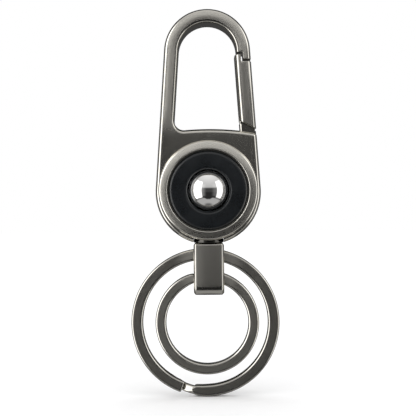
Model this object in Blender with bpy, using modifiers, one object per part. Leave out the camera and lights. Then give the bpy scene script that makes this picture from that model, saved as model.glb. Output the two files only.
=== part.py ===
# Carabiner keychain: a die-cast snap hook with a sprung gate, a rolling steel ball held by a
# black inlay, and a swivel link that carries a large and a small split ring.
# Metres. X runs to the right, Y away from the viewer and Z up.
# The origin is at the inner top of the bow, where a finger or a peg holds the object.

import math

import bpy
import bmesh
from mathutils import Matrix, Vector

# Snap hook body
BOW_RADIUS = 0.0104
CENTRE_SPACING = 0.0337
BAR_WIDTH = 0.0034
BODY_DEPTH = 0.0070
BODY_BEVEL = 0.00045
FLOOR_ABOVE_END = 0.00245
WINDOW_FLOOR_RADIUS = 0.067
WINDOW_CORNER = 0.0024
SHOULDER_CORNER = 0.0011

# Nose, gate and its lug
NOSE_DROP = 0.0007
LIP_LENGTH = 0.0020
LIP_WIDTH_SHARE = 0.485
GATE_GAP = 0.0004
FOOT_RISE = 0.0020
FOOT_CORNER = 0.0006
FOOT_ABOVE_SHOULDER = 0.00095
PIVOT_ABOVE_FOOT = 0.0041
TONGUE_INSET = 0.0003
TONGUE_DEPTH_SHARE = 0.457
LUG_SETBACK = 0.0006
LUG_INSET = 0.00015
LUG_SINK = 0.0012
LUG_BEVEL = 0.00025

# Gate pin and spring
PIN_RADIUS = 0.0007
PIN_SKIN = 0.0009
PIN_RECESS = 0.0001
PIN_BEVEL = 0.00012
SPRING_COIL_RADIUS = 0.00045
SPRING_WIRE = 0.0002
SPRING_PITCH = 0.0007
SPRING_WALL = 0.00035
SPRING_LENGTH_SHARE = 0.7

# Boss, inlay and ball
BOSS_RISE = 0.00035
BEZEL_MARGIN = 0.0007
BEZEL_WIDTH = 0.00215
BEZEL_EDGE = 0.0002
BEZEL_CHAMFER = 0.00025
BEZEL_SLOPE_DEGREES = 20
BEZEL_RIM = 0.00025
SLEEVE_WALL = 0.00045
SLEEVE_LENGTH = 0.0009
INLAY_GAP = 0.00045
INLAY_THICKNESS = 0.0017
INLAY_SINK = 0.00045
INLAY_BEVEL = 0.0005
BALL_RADIUS = 0.0050
BALL_LIP_RISE = 0.0017
BALL_LIP_GAP = 0.00015
COUNTERSINK_WIDTH = 0.00085
COUNTERSINK_DEPTH = 0.00035
CUP_WALL = 0.0014
BACK_WALL = 0.00085
BACK_STEP = 0.0002
BACK_SLOPE_WIDTH = 0.0014

# Swivel
PIN_HEAD_RADIUS = 0.0021
PIN_HEAD_HEIGHT = 0.0013
SHANK_RADIUS = 0.0012
HEAD_ROOM = 0.0012
SWIVEL_WALL = 0.0021
NOTCH_DEPTH = 0.00145
COLLAR_INSET = 0.000225
COLLAR_HEIGHT = 0.00075
COLLAR_BEVEL = 0.00018
SHANK_RECESS = 0.0001

# Ring link
LINK_WIDTH = 0.00735
LINK_TOP_WALL = 0.00095
LINK_MID_BAR = 0.0012
LINK_BOTTOM_WALL = 0.0019
LINK_SIDE_WALL = 0.00115
LINK_BEVEL = 0.0004
LINK_TOP_RADIUS = 0.0006
LINK_TOE_RADIUS = 0.0015
SLOT_CORNER = 0.0005

# Split rings
LARGE_RING_RADIUS = 0.0180
RING_SPACING = 0.0026
LARGE_RING_SHIFT = -0.00095
SMALL_RING_SHIFT = -0.0005
LARGE_STRIP_FACE = 0.0028
SMALL_STRIP_FACE = 0.0026
STRIP_THICKNESS = 0.00125
STRIP_CORNER = 0.00045
TURN_GAP = 0.0001
RAMP_LENGTH = 0.0023
END_GAP = 0.0003
RAMP_NECK_SHARE = 0.84
RAMP_STEPS = 6
LARGE_JOINT_DEGREES = 250
SMALL_JOINT_DEGREES = 90

# Clearances
SEAT_GAP = 0.0003
FLANGE_GAP = 0.00025
NOTCH_GAP = 0.00025
PIN_GAP = 0.0002
SWING_GAP = 0.00015
COLLAR_GAP = 0.0001
OVERRUN = 0.0010

# Fineness of round forms
BOSS_STEPS = 56
PIN_STEPS = 24
ROUNDING_STEPS = 5
BOW_STEPS = 36
LARGE_RING_STEPS = 60
SMALL_RING_STEPS = 46
SPRING_STEPS = 10
MERGE_DISTANCE = 0.00001
ROUNDING_DEGREES = 50
CREASE_DEGREES = 30
FLAT_DEGREES = 1

# The lower end is as large as what lies in it: the ball in its cup, then the swivel pin's head
CUP_RADIUS = BALL_RADIUS + CUP_WALL
CUP_BORE = CUP_RADIUS + SEAT_GAP
HEAD_DROP = CUP_BORE + HEAD_ROOM + PIN_HEAD_HEIGHT + SEAT_GAP
END_RADIUS = HEAD_DROP + SWIVEL_WALL + NOTCH_DEPTH - BOSS_RISE
BEZEL_RADIUS = END_RADIUS - BEZEL_MARGIN
BEZEL_BORE = BEZEL_RADIUS - BEZEL_WIDTH
SLEEVE_RADIUS = BEZEL_BORE + SLEEVE_WALL
BOSS_BORE = SLEEVE_RADIUS + SEAT_GAP
INLAY_RADIUS = BEZEL_BORE - INLAY_GAP
BALL_LIP_RADIUS = math.sqrt(BALL_RADIUS ** 2 - BALL_LIP_RISE ** 2) + BALL_LIP_GAP
COUNTERSINK_RADIUS = BALL_LIP_RADIUS + COUNTERSINK_WIDTH

# The two long sides lean by LEAN, as tangents of the bow and of the round lower end
LEAN = math.asin((END_RADIUS - BOW_RADIUS) / CENTRE_SPACING)
BOW_Z = BAR_WIDTH - BOW_RADIUS
END_Z = BOW_Z - CENTRE_SPACING
BOSS_Z = END_Z + BOSS_RISE
FRONT = BODY_DEPTH / 2
WINDOW_DROP = CENTRE_SPACING - END_RADIUS - FLOOR_ABOVE_END
FLOOR_CENTRE = Vector((0, BOW_Z - WINDOW_DROP - WINDOW_FLOOR_RADIUS))


def side_point(inset, drop, side=1):
    """A point beside a long edge: inset from the outer edge, drop down from the bow's centre."""
    across = BOW_RADIUS - inset
    x = across * math.cos(LEAN) + drop * math.sin(LEAN)
    z = BOW_Z + across * math.sin(LEAN) - drop * math.cos(LEAN)
    return Vector((side * x, z))


def drop_to_circle(inset, centre, radius, side=1):
    """How far down the line at this inset first comes within radius of centre."""
    start = side_point(inset, 0, side) - centre
    along = side_point(inset, 1, side) - side_point(inset, 0, side)
    half = start.dot(along)
    return -half - math.sqrt(half * half - start.length_squared + radius * radius)


SHOULDER_DROP = drop_to_circle(0, FLOOR_CENTRE, WINDOW_FLOOR_RADIUS)
LIP_WIDTH = BAR_WIDTH * LIP_WIDTH_SHARE
FOOT_DROP = SHOULDER_DROP - FOOT_ABOVE_SHOULDER
PIVOT_DROP = FOOT_DROP - PIVOT_ABOVE_FOOT
LIP_DROP = NOSE_DROP + LIP_LENGTH
PIVOT_INSET = BAR_WIDTH / 2
TONGUE_RADIUS = PIVOT_INSET - TONGUE_INSET
TONGUE_DEPTH = BODY_DEPTH * TONGUE_DEPTH_SHARE
BORE_RADIUS = PIN_RADIUS + PIN_GAP
FORK_HALF = TONGUE_DEPTH / 2 + SEAT_GAP
FORK_DROP = PIVOT_DROP - math.sqrt(2) * TONGUE_RADIUS - SEAT_GAP
SPRING_FOOT_DROP = PIVOT_DROP - TONGUE_RADIUS - SEAT_GAP
SPRING_BORE = SPRING_COIL_RADIUS + SPRING_WIRE / 2 + PIN_GAP
SPRING_INSET = BAR_WIDTH - SPRING_WALL - SPRING_BORE
SPRING_LENGTH = (SPRING_FOOT_DROP - LIP_DROP) * SPRING_LENGTH_SHARE

# Heights in the boss, measured from the middle of the body towards the viewer
FLANGE_BOTTOM = FRONT + FLANGE_GAP
FLANGE_TOP = FLANGE_BOTTOM + BEZEL_EDGE + BEZEL_CHAMFER
CONE_INNER = BEZEL_BORE + BEZEL_RIM
CONE_OUTER = BEZEL_RADIUS - BEZEL_CHAMFER
RIM_TOP = FLANGE_TOP + (CONE_OUTER - CONE_INNER) * math.tan(math.radians(BEZEL_SLOPE_DEGREES))
INLAY_TOP = RIM_TOP - INLAY_SINK
INLAY_BOTTOM = INLAY_TOP - INLAY_THICKNESS
INLAY_SEAT = INLAY_BOTTOM - SEAT_GAP
SLEEVE_END = FRONT - SLEEVE_LENGTH
BALL_HEIGHT = INLAY_TOP - COUNTERSINK_DEPTH - BALL_LIP_RISE
BALL_HOLLOW = BALL_RADIUS + SEAT_GAP
CUP_TOP = INLAY_SEAT
CUP_BOTTOM = BALL_HEIGHT - BALL_RADIUS
POCKET_FLOOR = CUP_BOTTOM - SEAT_GAP
BACK_FACE = min(POCKET_FLOOR - BACK_WALL, -FRONT - BACK_STEP)

# Heights down the swivel
HEAD_FLOOR = BOSS_Z - HEAD_DROP
NOTCH_TOP = HEAD_FLOOR - SWIVEL_WALL
COLLAR_RADIUS = LINK_WIDTH / 2 - COLLAR_INSET
COLLAR_TOP = NOTCH_TOP - NOTCH_GAP
LINK_TOP = COLLAR_TOP - COLLAR_HEIGHT - COLLAR_GAP
SHANK_BORE = SHANK_RADIUS + SEAT_GAP

# The split rings. A strip's section sweeps a circle as it swings in its slot.
SMALL_RING_RADIUS = LARGE_RING_RADIUS - LARGE_STRIP_FACE - RING_SPACING
STRIP_DEPTH = 2 * STRIP_THICKNESS + TURN_GAP


def ring_lift(ring_radius, face, shift):
    """How far the strip's highest point in the slot lies above the axis that it swings on."""
    inner = ring_radius - face
    side = LINK_WIDTH / 2 + abs(shift)
    sag = inner - math.sqrt(inner * inner - side * side)
    return sag / 2


def slot_reach(face, lift):
    """How far a slot reaches above and below its swing axis, so that the ring swings freely."""
    flat = lift + face / 2
    corner = math.hypot(face / 2 - STRIP_CORNER, STRIP_DEPTH / 2 - STRIP_CORNER) + STRIP_CORNER
    slanted = lift * math.sqrt(0.5) + corner
    return max(flat, slanted) + SWING_GAP


LARGE_LIFT = ring_lift(LARGE_RING_RADIUS, LARGE_STRIP_FACE, LARGE_RING_SHIFT)
SMALL_LIFT = ring_lift(SMALL_RING_RADIUS, SMALL_STRIP_FACE, SMALL_RING_SHIFT)
LARGE_REACH = slot_reach(LARGE_STRIP_FACE, LARGE_LIFT)
SMALL_REACH = slot_reach(SMALL_STRIP_FACE, SMALL_LIFT)
LARGE_AXIS_Z = LINK_TOP - LINK_TOP_WALL - LARGE_REACH
SMALL_AXIS_Z = LARGE_AXIS_Z - LARGE_REACH - LINK_MID_BAR - SMALL_REACH
LINK_BOTTOM = SMALL_AXIS_Z - SMALL_REACH - LINK_BOTTOM_WALL
SLOT_HALF = max(LARGE_REACH, SMALL_REACH)
LINK_DEPTH = 2 * (SLOT_HALF + LINK_SIDE_WALL)


def clear_scene():
    for thing in list(bpy.data.objects):
        bpy.data.objects.remove(thing, do_unlink=True)


def new_collection(name):
    made = bpy.data.collections.new(name)
    bpy.context.scene.collection.children.link(made)
    return made


def new_material(name, colour, metallic, roughness):
    made = bpy.data.materials.new(name)
    made.use_nodes = True
    shader = made.node_tree.nodes["Principled BSDF"]
    shader.inputs["Base Color"].default_value = (*colour, 1)
    shader.inputs["Metallic"].default_value = metallic
    shader.inputs["Roughness"].default_value = roughness
    made.diffuse_color = (*colour, 1)
    return made


def arc(centre, radius, start, end, steps):
    """Points on an arc about centre, from the start angle to the end angle."""
    angles = [start + (end - start) * k / steps for k in range(steps + 1)]
    return [centre + radius * Vector((math.cos(a), math.sin(a))) for a in angles]


def angle_of(vector):
    return math.atan2(vector.y, vector.x)


def mesh_object(name, mesh, group):
    made = bpy.data.objects.new(name, mesh)
    group.objects.link(made)
    return made


def plate(name, outline, depth, group, bevel=0):
    """A flat outline in X and Z, given depth along Y about the middle, with rounded edges."""
    curve = bpy.data.curves.new(name, "CURVE")
    curve.dimensions = "2D"
    curve.fill_mode = "BOTH"
    curve.extrude = depth / 2
    line = curve.splines.new("POLY")
    line.points.add(len(outline) - 1)
    line.use_cyclic_u = True
    for point, (x, z) in zip(line.points, outline):
        point.co = (x, z, 0, 1)
    drawn = mesh_object(name + "_outline", curve, group)
    drawn.rotation_euler.x = math.pi / 2
    bpy.context.view_layer.update()
    evaluated = drawn.evaluated_get(bpy.context.evaluated_depsgraph_get())
    mesh = bpy.data.meshes.new_from_object(evaluated)
    mesh.transform(drawn.matrix_world)
    bpy.data.objects.remove(drawn)
    work = bmesh.new()
    work.from_mesh(mesh)
    bmesh.ops.remove_doubles(work, verts=work.verts, dist=MERGE_DISTANCE)
    flat = math.radians(FLAT_DEGREES)
    bmesh.ops.dissolve_limit(work, angle_limit=flat, verts=work.verts, edges=work.edges)
    bmesh.ops.recalc_face_normals(work, faces=work.faces)
    work.to_mesh(mesh)
    work.free()
    made = mesh_object(name, mesh, group)
    if bevel:
        round_edges(made, bevel)
    return made


def round_edges(thing, width, segments=2):
    rounding = thing.modifiers.new("Rounding", "BEVEL")
    rounding.width = width
    rounding.segments = segments
    rounding.limit_method = "ANGLE"
    rounding.angle_limit = math.radians(ROUNDING_DEGREES)


def turned(name, profile, steps, group, closed=False, upright=False):
    """A turned form: radius and height pairs down the outer side, closed into a ring or
    from axis to axis. It faces the viewer on the boss's axis, or stands upright at x = y = 0."""
    mesh = bpy.data.meshes.new(name)
    edges = [(k, k + 1) for k in range(len(profile) - 1)]
    if closed:
        edges.append((len(profile) - 1, 0))
    mesh.from_pydata([(r, 0, h) for r, h in profile], edges, [])
    made = mesh_object(name, mesh, group)
    lathe = made.modifiers.new("Lathe", "SCREW")
    lathe.axis = "Z"
    lathe.angle = 2 * math.pi
    lathe.steps = steps
    lathe.render_steps = steps
    lathe.use_merge_vertices = True
    lathe.merge_threshold = MERGE_DISTANCE
    lathe.use_smooth_shade = True
    if not upright:
        made.location.z = BOSS_Z
        made.rotation_euler.x = math.pi / 2
    return made


def rod(name, radius, start, end, steps, group):
    """A cylinder between two points."""
    mesh = bpy.data.meshes.new(name)
    work = bmesh.new()
    along = Vector(end) - Vector(start)
    place = Matrix.Translation((Vector(start) + Vector(end)) / 2)
    place = place @ along.to_track_quat("Z", "Y").to_matrix().to_4x4()
    bmesh.ops.create_cone(
        work,
        cap_ends=True,
        segments=steps,
        radius1=radius,
        radius2=radius,
        depth=along.length,
        matrix=place,
    )
    work.to_mesh(mesh)
    work.free()
    return mesh_object(name, mesh, group)


def combine(thing, tool, operation="DIFFERENCE"):
    """Cuts the tool from a piece or joins it on, and keeps the tool as a hidden helper."""
    step = thing.modifiers.new(tool.name, "BOOLEAN")
    step.operation = operation
    step.object = tool
    step.solver = "EXACT"
    tool.hide_render = True
    tool.display_type = "WIRE"
    return thing


def dress(thing, paint):
    """Gives a piece its material and smooth shading with crisp edges."""
    thing.data.materials.clear()
    thing.data.materials.append(paint)
    if thing.type == "MESH":
        thing.data.shade_smooth()
        thing.data.set_sharp_from_angle(angle=math.radians(CREASE_DEGREES))
    return thing


def set_axis(thing, place):
    """Moves a piece's origin onto its joint's axis and leaves its shape where it is."""
    shift = thing.matrix_basis.inverted() @ Vector(place)
    thing.data.transform(Matrix.Translation(-shift))
    thing.location = place


def pivot(name, place, group, parent=None):
    made = bpy.data.objects.new(name, None)
    made.empty_display_size = BAR_WIDTH
    made.location = place
    group.objects.link(made)
    if parent:
        carry(made, parent)
    return made


def carry(thing, parent):
    """Parents a piece where it stands."""
    bpy.context.view_layer.update()
    thing.parent = parent
    thing.matrix_parent_inverse = parent.matrix_world.inverted()


def body_outline():
    """The hook's C-shaped face, from the bow's right end round the outside and back inside."""
    bow = Vector((0, BOW_Z))
    end = Vector((0, END_Z))
    left = math.pi - LEAN
    points = arc(bow, BOW_RADIUS, LEAN, left, BOW_STEPS)
    points += arc(end, END_RADIUS, left, 2 * math.pi + LEAN, BOW_STEPS)
    fillet_drop = drop_to_circle(
        SHOULDER_CORNER, FLOOR_CENTRE, WINDOW_FLOOR_RADIUS - SHOULDER_CORNER
    )
    shoulder = side_point(SHOULDER_CORNER, fillet_drop)
    shoulder_turn = angle_of(shoulder - FLOOR_CENTRE)
    points += arc(shoulder, SHOULDER_CORNER, LEAN, shoulder_turn, ROUNDING_STEPS)
    corner_inset = BAR_WIDTH + WINDOW_CORNER
    corner_drop = drop_to_circle(
        corner_inset, FLOOR_CENTRE, WINDOW_FLOOR_RADIUS + WINDOW_CORNER, -1
    )
    corner = side_point(corner_inset, corner_drop, -1)
    corner_turn = angle_of(corner - FLOOR_CENTRE)
    points += arc(
        FLOOR_CENTRE, WINDOW_FLOOR_RADIUS, shoulder_turn, corner_turn, 2 * ROUNDING_STEPS
    )[1:-1]
    points += arc(corner, WINDOW_CORNER, corner_turn + math.pi, left, 2 * ROUNDING_STEPS)
    points += arc(bow, BOW_RADIUS - BAR_WIDTH, left, LEAN, BOW_STEPS)
    points += [
        side_point(BAR_WIDTH, NOSE_DROP),
        side_point(LIP_WIDTH, NOSE_DROP),
        side_point(LIP_WIDTH, LIP_DROP),
        side_point(0, LIP_DROP),
    ]
    return points


def foot_drop(inset):
    """The gate's slanted foot, which swings clear of the lug below it."""
    return FOOT_DROP - FOOT_RISE * inset / BAR_WIDTH


def lug_root_outline():
    """The block on the shoulder below the gate, its top parallel to the gate's foot."""
    slant = math.atan2(FOOT_RISE, BAR_WIDTH)
    gap = GATE_GAP / math.cos(slant)
    outer = LUG_INSET
    inner = BAR_WIDTH - LUG_INSET
    bottom = SHOULDER_DROP + LUG_SINK
    return [
        side_point(outer, bottom),
        side_point(outer, foot_drop(outer) + gap),
        side_point(inner, foot_drop(inner) + gap),
        side_point(inner, bottom),
    ]


def tongue_outline():
    """The hinge tongue between the gate's ears, with a flat heel for the spring."""
    centre = side_point(PIVOT_INSET, PIVOT_DROP)
    bottom = SHOULDER_DROP + LUG_SINK
    inner = PIVOT_INSET + TONGUE_RADIUS
    outer = PIVOT_INSET - TONGUE_RADIUS
    round_side = arc(centre, TONGUE_RADIUS, LEAN, LEAN + math.pi / 2, 2 * ROUNDING_STEPS)
    return [
        side_point(outer, bottom),
        *round_side,
        side_point(inner, PIVOT_DROP - TONGUE_RADIUS),
        side_point(inner, bottom),
    ]


def gate_pin_place(height):
    x, z = side_point(PIVOT_INSET, PIVOT_DROP)
    return Vector((x, -height, z))


def box(name, low, high, group):
    """A block between two opposite corners."""
    mesh = bpy.data.meshes.new(name)
    work = bmesh.new()
    size = Vector(high) - Vector(low)
    place = Matrix.Translation((Vector(low) + Vector(high)) / 2) @ Matrix.Diagonal((*size, 1))
    bmesh.ops.create_cube(work, size=1, matrix=place)
    work.to_mesh(mesh)
    work.free()
    return mesh_object(name, mesh, group)


def make_body(parts, tools, paint):
    body = plate("hook_body", body_outline(), BODY_DEPTH, parts, BODY_BEVEL)
    root_depth = BODY_DEPTH - 2 * LUG_SETBACK
    root = plate("lug_root", lug_root_outline(), root_depth, tools, LUG_BEVEL)
    tongue = plate("lug_tongue", tongue_outline(), TONGUE_DEPTH, tools)
    back = turned(
        "back_boss",
        [
            (0, -FRONT + OVERRUN),
            (BEZEL_RADIUS - BACK_SLOPE_WIDTH, -FRONT + OVERRUN),
            (BEZEL_RADIUS, -FRONT),
            (BEZEL_RADIUS - BACK_SLOPE_WIDTH, BACK_FACE),
            (0, BACK_FACE),
        ],
        BOSS_STEPS,
        tools,
    )
    for solid in (root, tongue, back):
        combine(body, solid, "UNION")
    boss_bores = turned(
        "boss_bores",
        [
            (0, FRONT + OVERRUN),
            (BOSS_BORE, FRONT + OVERRUN),
            (BOSS_BORE, INLAY_SEAT),
            (CUP_BORE, INLAY_SEAT),
            (CUP_BORE, POCKET_FLOOR),
            (0, POCKET_FLOOR),
        ],
        BOSS_STEPS,
        tools,
    )
    head_half = PIN_HEAD_RADIUS + SEAT_GAP
    head_pocket = box(
        "head_pocket",
        (-head_half, -INLAY_SEAT - OVERRUN / 2, HEAD_FLOOR),
        (head_half, head_half, BOSS_Z - CUP_BORE + OVERRUN),
        tools,
    )
    shank_bore = rod(
        "shank_bore",
        SHANK_BORE,
        (0, 0, HEAD_FLOOR + OVERRUN),
        (0, 0, NOTCH_TOP - OVERRUN),
        PIN_STEPS,
        tools,
    )
    notch_half = COLLAR_RADIUS + SEAT_GAP
    notch = box(
        "collar_notch",
        (-notch_half, -FRONT - OVERRUN, END_Z - END_RADIUS - OVERRUN),
        (notch_half, FRONT + OVERRUN, NOTCH_TOP),
        tools,
    )
    hinge_bore = rod(
        "hinge_bore",
        BORE_RADIUS,
        gate_pin_place(FRONT),
        gate_pin_place(-FRONT),
        PIN_STEPS,
        tools,
    )
    for tool in (boss_bores, head_pocket, shank_bore, notch, hinge_bore):
        combine(body, tool)
    return dress(body, paint)


def gate_outline():
    """The gate's face: a stepped tip behind the nose's lip, and a slanted foot."""
    shoulder = LIP_DROP + GATE_GAP
    tip = NOSE_DROP + GATE_GAP
    tip_outer = LIP_WIDTH + GATE_GAP
    points = [
        side_point(BAR_WIDTH, tip),
        side_point(BAR_WIDTH, foot_drop(BAR_WIDTH) - FOOT_CORNER),
        side_point(BAR_WIDTH - FOOT_CORNER / 4, foot_drop(BAR_WIDTH) - FOOT_CORNER / 4),
        side_point(BAR_WIDTH - FOOT_CORNER, foot_drop(BAR_WIDTH - FOOT_CORNER)),
        side_point(0, FOOT_DROP),
        side_point(0, shoulder),
        side_point(tip_outer, shoulder),
        side_point(tip_outer, tip),
    ]
    return points


def bar_place(inset, drop):
    x, z = side_point(inset, drop)
    return Vector((x, 0, z))


def make_gate(parts, tools, paint):
    gate = plate("gate", gate_outline(), BODY_DEPTH, parts, BODY_BEVEL)
    fork = plate(
        "gate_fork",
        [
            side_point(-OVERRUN, FORK_DROP),
            side_point(BAR_WIDTH + OVERRUN, FORK_DROP),
            side_point(BAR_WIDTH + OVERRUN, FOOT_DROP + OVERRUN),
            side_point(-OVERRUN, FOOT_DROP + OVERRUN),
        ],
        2 * FORK_HALF,
        tools,
    )
    spring_bore = rod(
        "spring_bore",
        SPRING_BORE,
        bar_place(SPRING_INSET, SPRING_FOOT_DROP - SPRING_LENGTH - SEAT_GAP),
        bar_place(SPRING_INSET, FORK_DROP + OVERRUN),
        PIN_STEPS,
        tools,
    )
    pin_bore = rod(
        "gate_pin_bore",
        BORE_RADIUS,
        gate_pin_place(FRONT - PIN_SKIN),
        gate_pin_place(-FRONT - OVERRUN),
        PIN_STEPS,
        tools,
    )
    for tool in (fork, spring_bore, pin_bore):
        combine(gate, tool)
    set_axis(gate, gate_pin_place(0))
    return dress(gate, paint)


def make_gate_pin(parts, paint):
    front = FRONT - PIN_SKIN - SEAT_GAP
    back = -FRONT + PIN_RECESS
    pin = rod(
        "gate_pin", PIN_RADIUS, gate_pin_place(front), gate_pin_place(back), PIN_STEPS, parts
    )
    set_axis(pin, gate_pin_place(0))
    round_edges(pin, PIN_BEVEL, 1)
    return dress(pin, paint)


def make_gate_spring(parts, paint):
    """A compression spring in the gate's bore, its foot on the heel of the hinge tongue."""
    foot = bar_place(SPRING_INSET, SPRING_FOOT_DROP)
    along = (bar_place(0, 0) - bar_place(0, 1)).normalized()
    across = along.cross(Vector((0, 1, 0)))
    rise = SPRING_LENGTH - SPRING_WIRE
    coils = round(rise / SPRING_PITCH)
    count = coils * SPRING_STEPS
    curve = bpy.data.curves.new("gate_spring", "CURVE")
    curve.dimensions = "3D"
    curve.bevel_depth = SPRING_WIRE / 2
    curve.bevel_resolution = 1
    curve.use_fill_caps = True
    wire = curve.splines.new("POLY")
    wire.points.add(count)
    for k, point in enumerate(wire.points):
        turn = 2 * math.pi * k / SPRING_STEPS
        height = SPRING_WIRE / 2 + rise * k / count
        radial = across * math.cos(turn) + Vector((0, 1, 0)) * math.sin(turn)
        place = foot + along * height + radial * SPRING_COIL_RADIUS
        point.co = (*place, 1)
    print("gate_spring least gap mm", round(1000 * (rise / coils - SPRING_WIRE), 3))
    return dress(mesh_object("gate_spring", curve, parts), paint)


def make_bezel(parts, paint):
    profile = [
        (CONE_INNER, RIM_TOP),
        (CONE_OUTER, FLANGE_TOP),
        (BEZEL_RADIUS, FLANGE_BOTTOM + BEZEL_EDGE),
        (BEZEL_RADIUS, FLANGE_BOTTOM),
        (SLEEVE_RADIUS, FLANGE_BOTTOM),
        (SLEEVE_RADIUS, SLEEVE_END),
        (BEZEL_BORE, SLEEVE_END),
        (BEZEL_BORE, RIM_TOP - BEZEL_RIM / 2),
    ]
    return dress(turned("bezel_ring", profile, BOSS_STEPS, parts, closed=True), paint)


def make_inlay(parts, paint):
    lip = INLAY_TOP - COUNTERSINK_DEPTH
    profile = [
        (COUNTERSINK_RADIUS, INLAY_TOP),
        (INLAY_RADIUS - INLAY_BEVEL, INLAY_TOP),
        (INLAY_RADIUS, INLAY_TOP - INLAY_BEVEL),
        (INLAY_RADIUS, INLAY_BOTTOM),
        (BALL_HOLLOW, INLAY_BOTTOM),
        (BALL_LIP_RADIUS, lip),
    ]
    return dress(turned("inlay_disc", profile, BOSS_STEPS, parts, closed=True), paint)


def make_ball(parts, paint):
    mesh = bpy.data.meshes.new("steel_ball")
    work = bmesh.new()
    bmesh.ops.create_uvsphere(work, u_segments=28, v_segments=16, radius=BALL_RADIUS)
    work.to_mesh(mesh)
    work.free()
    ball = mesh_object("steel_ball", mesh, parts)
    ball.location = (0, -BALL_HEIGHT, BOSS_Z)
    return dress(ball, paint)


def make_cup(parts, paint):
    """The seat behind the ball, hollowed to a sphere a little larger than the ball."""
    top_turn = math.asin((CUP_TOP - BALL_HEIGHT) / BALL_HOLLOW)
    bottom_turn = math.asin((CUP_BOTTOM - BALL_HEIGHT) / BALL_HOLLOW)
    hollow = arc(
        Vector((0, BALL_HEIGHT)), BALL_HOLLOW, bottom_turn, top_turn, ROUNDING_STEPS
    )
    profile = [(CUP_RADIUS, CUP_TOP), (CUP_RADIUS, CUP_BOTTOM), *hollow]
    return dress(turned("ball_cup", profile, BOSS_STEPS, parts, closed=True), paint)


def make_swivel_pin(parts, paint):
    head_bottom = HEAD_FLOOR + SEAT_GAP
    head_top = head_bottom + PIN_HEAD_HEIGHT
    end = LINK_TOP - LINK_TOP_WALL + SHANK_RECESS
    profile = [
        (0, head_top),
        (PIN_HEAD_RADIUS - PIN_BEVEL, head_top),
        (PIN_HEAD_RADIUS, head_top - PIN_BEVEL),
        (PIN_HEAD_RADIUS, head_bottom),
        (SHANK_RADIUS, head_bottom),
        (SHANK_RADIUS, end),
        (0, end),
    ]
    return dress(turned("swivel_pin", profile, PIN_STEPS, parts, upright=True), paint)


def make_collar(parts, paint):
    bottom = COLLAR_TOP - COLLAR_HEIGHT
    profile = [
        (SHANK_BORE, COLLAR_TOP),
        (COLLAR_RADIUS - COLLAR_BEVEL, COLLAR_TOP),
        (COLLAR_RADIUS, COLLAR_TOP - COLLAR_BEVEL),
        (COLLAR_RADIUS, bottom + COLLAR_BEVEL),
        (COLLAR_RADIUS - COLLAR_BEVEL, bottom),
        (SHANK_BORE, bottom),
    ]
    ring = turned("swivel_collar", profile, 2 * PIN_STEPS, parts, closed=True, upright=True)
    return dress(ring, paint)


def rounded_box_outline(low, high, corners):
    """A rectangle whose corners are rounded, given as radii from bottom left round to top left."""
    spots = [(low[0], low[1]), (high[0], low[1]), (high[0], high[1]), (low[0], high[1])]
    points = []
    for k, ((x, z), radius) in enumerate(zip(spots, corners)):
        inward_x = radius if x == low[0] else -radius
        inward_z = radius if z == low[1] else -radius
        start = math.pi + k * math.pi / 2
        centre = Vector((x + inward_x, z + inward_z))
        points += arc(centre, radius, start, start + math.pi / 2, ROUNDING_STEPS)
    return points


def turn_to_side(thing):
    """Turns a plate drawn in X and Z so that it lies in Y and Z and is deep along X."""
    thing.data.transform(Matrix.Rotation(math.pi / 2, 4, "Z"))


def make_link(parts, tools, paint):
    """The link is drawn as seen from the side: rounded toe at the bottom, two slots through."""
    toes = (LINK_TOE_RADIUS, LINK_TOE_RADIUS, LINK_TOP_RADIUS, LINK_TOP_RADIUS)
    outline = rounded_box_outline(
        (-LINK_DEPTH / 2, LINK_BOTTOM), (LINK_DEPTH / 2, LINK_TOP), toes
    )
    link = plate("ring_link", outline, LINK_WIDTH, parts, LINK_BEVEL)
    turn_to_side(link)
    slots = [
        ("large_slot", LARGE_AXIS_Z, LARGE_REACH),
        ("small_slot", SMALL_AXIS_Z, SMALL_REACH),
    ]
    for name, axis_z, reach in slots:
        low = (-SLOT_HALF, axis_z - reach)
        high = (SLOT_HALF, axis_z + reach)
        around = rounded_box_outline(low, high, [SLOT_CORNER] * 4)
        slot = plate(name, around, LINK_WIDTH + 2 * OVERRUN, tools)
        turn_to_side(slot)
        combine(link, slot)
    rivet_bore = rod(
        "rivet_bore",
        SHANK_BORE,
        (0, 0, LINK_TOP + OVERRUN),
        (0, 0, LINK_TOP - LINK_TOP_WALL - OVERRUN),
        PIN_STEPS,
        tools,
    )
    combine(link, rivet_bore)
    return dress(link, paint)


def strip_section(name, face, tools):
    """The rounded section of a ring's flat strip, as the bevel profile of its path."""
    curve = bpy.data.curves.new(name, "CURVE")
    curve.dimensions = "2D"
    half_face = face / 2
    half_thick = STRIP_THICKNESS / 2
    outline = []
    for k, (x, y) in enumerate([(-1, -1), (1, -1), (1, 1), (-1, 1)]):
        centre = Vector((x * (half_face - STRIP_CORNER), y * (half_thick - STRIP_CORNER)))
        start = math.pi + k * math.pi / 2
        outline += arc(centre, STRIP_CORNER, start, start + math.pi / 2, 2)
    line = curve.splines.new("POLY")
    line.points.add(len(outline) - 1)
    line.use_cyclic_u = True
    for point, (x, y) in zip(line.points, reversed(outline)):
        point.co = (x, y, 0, 1)
    made = mesh_object(name, curve, tools)
    made.hide_render = True
    made.display_type = "WIRE"
    return made


def spread(start, end, count):
    """Evenly spaced values from start, up to but without end."""
    return [start + (end - start) * k / count for k in range(count)]


def smooth_step(share):
    share = min(max(share, 0), 1)
    return share * share * (3 - 2 * share)


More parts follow.
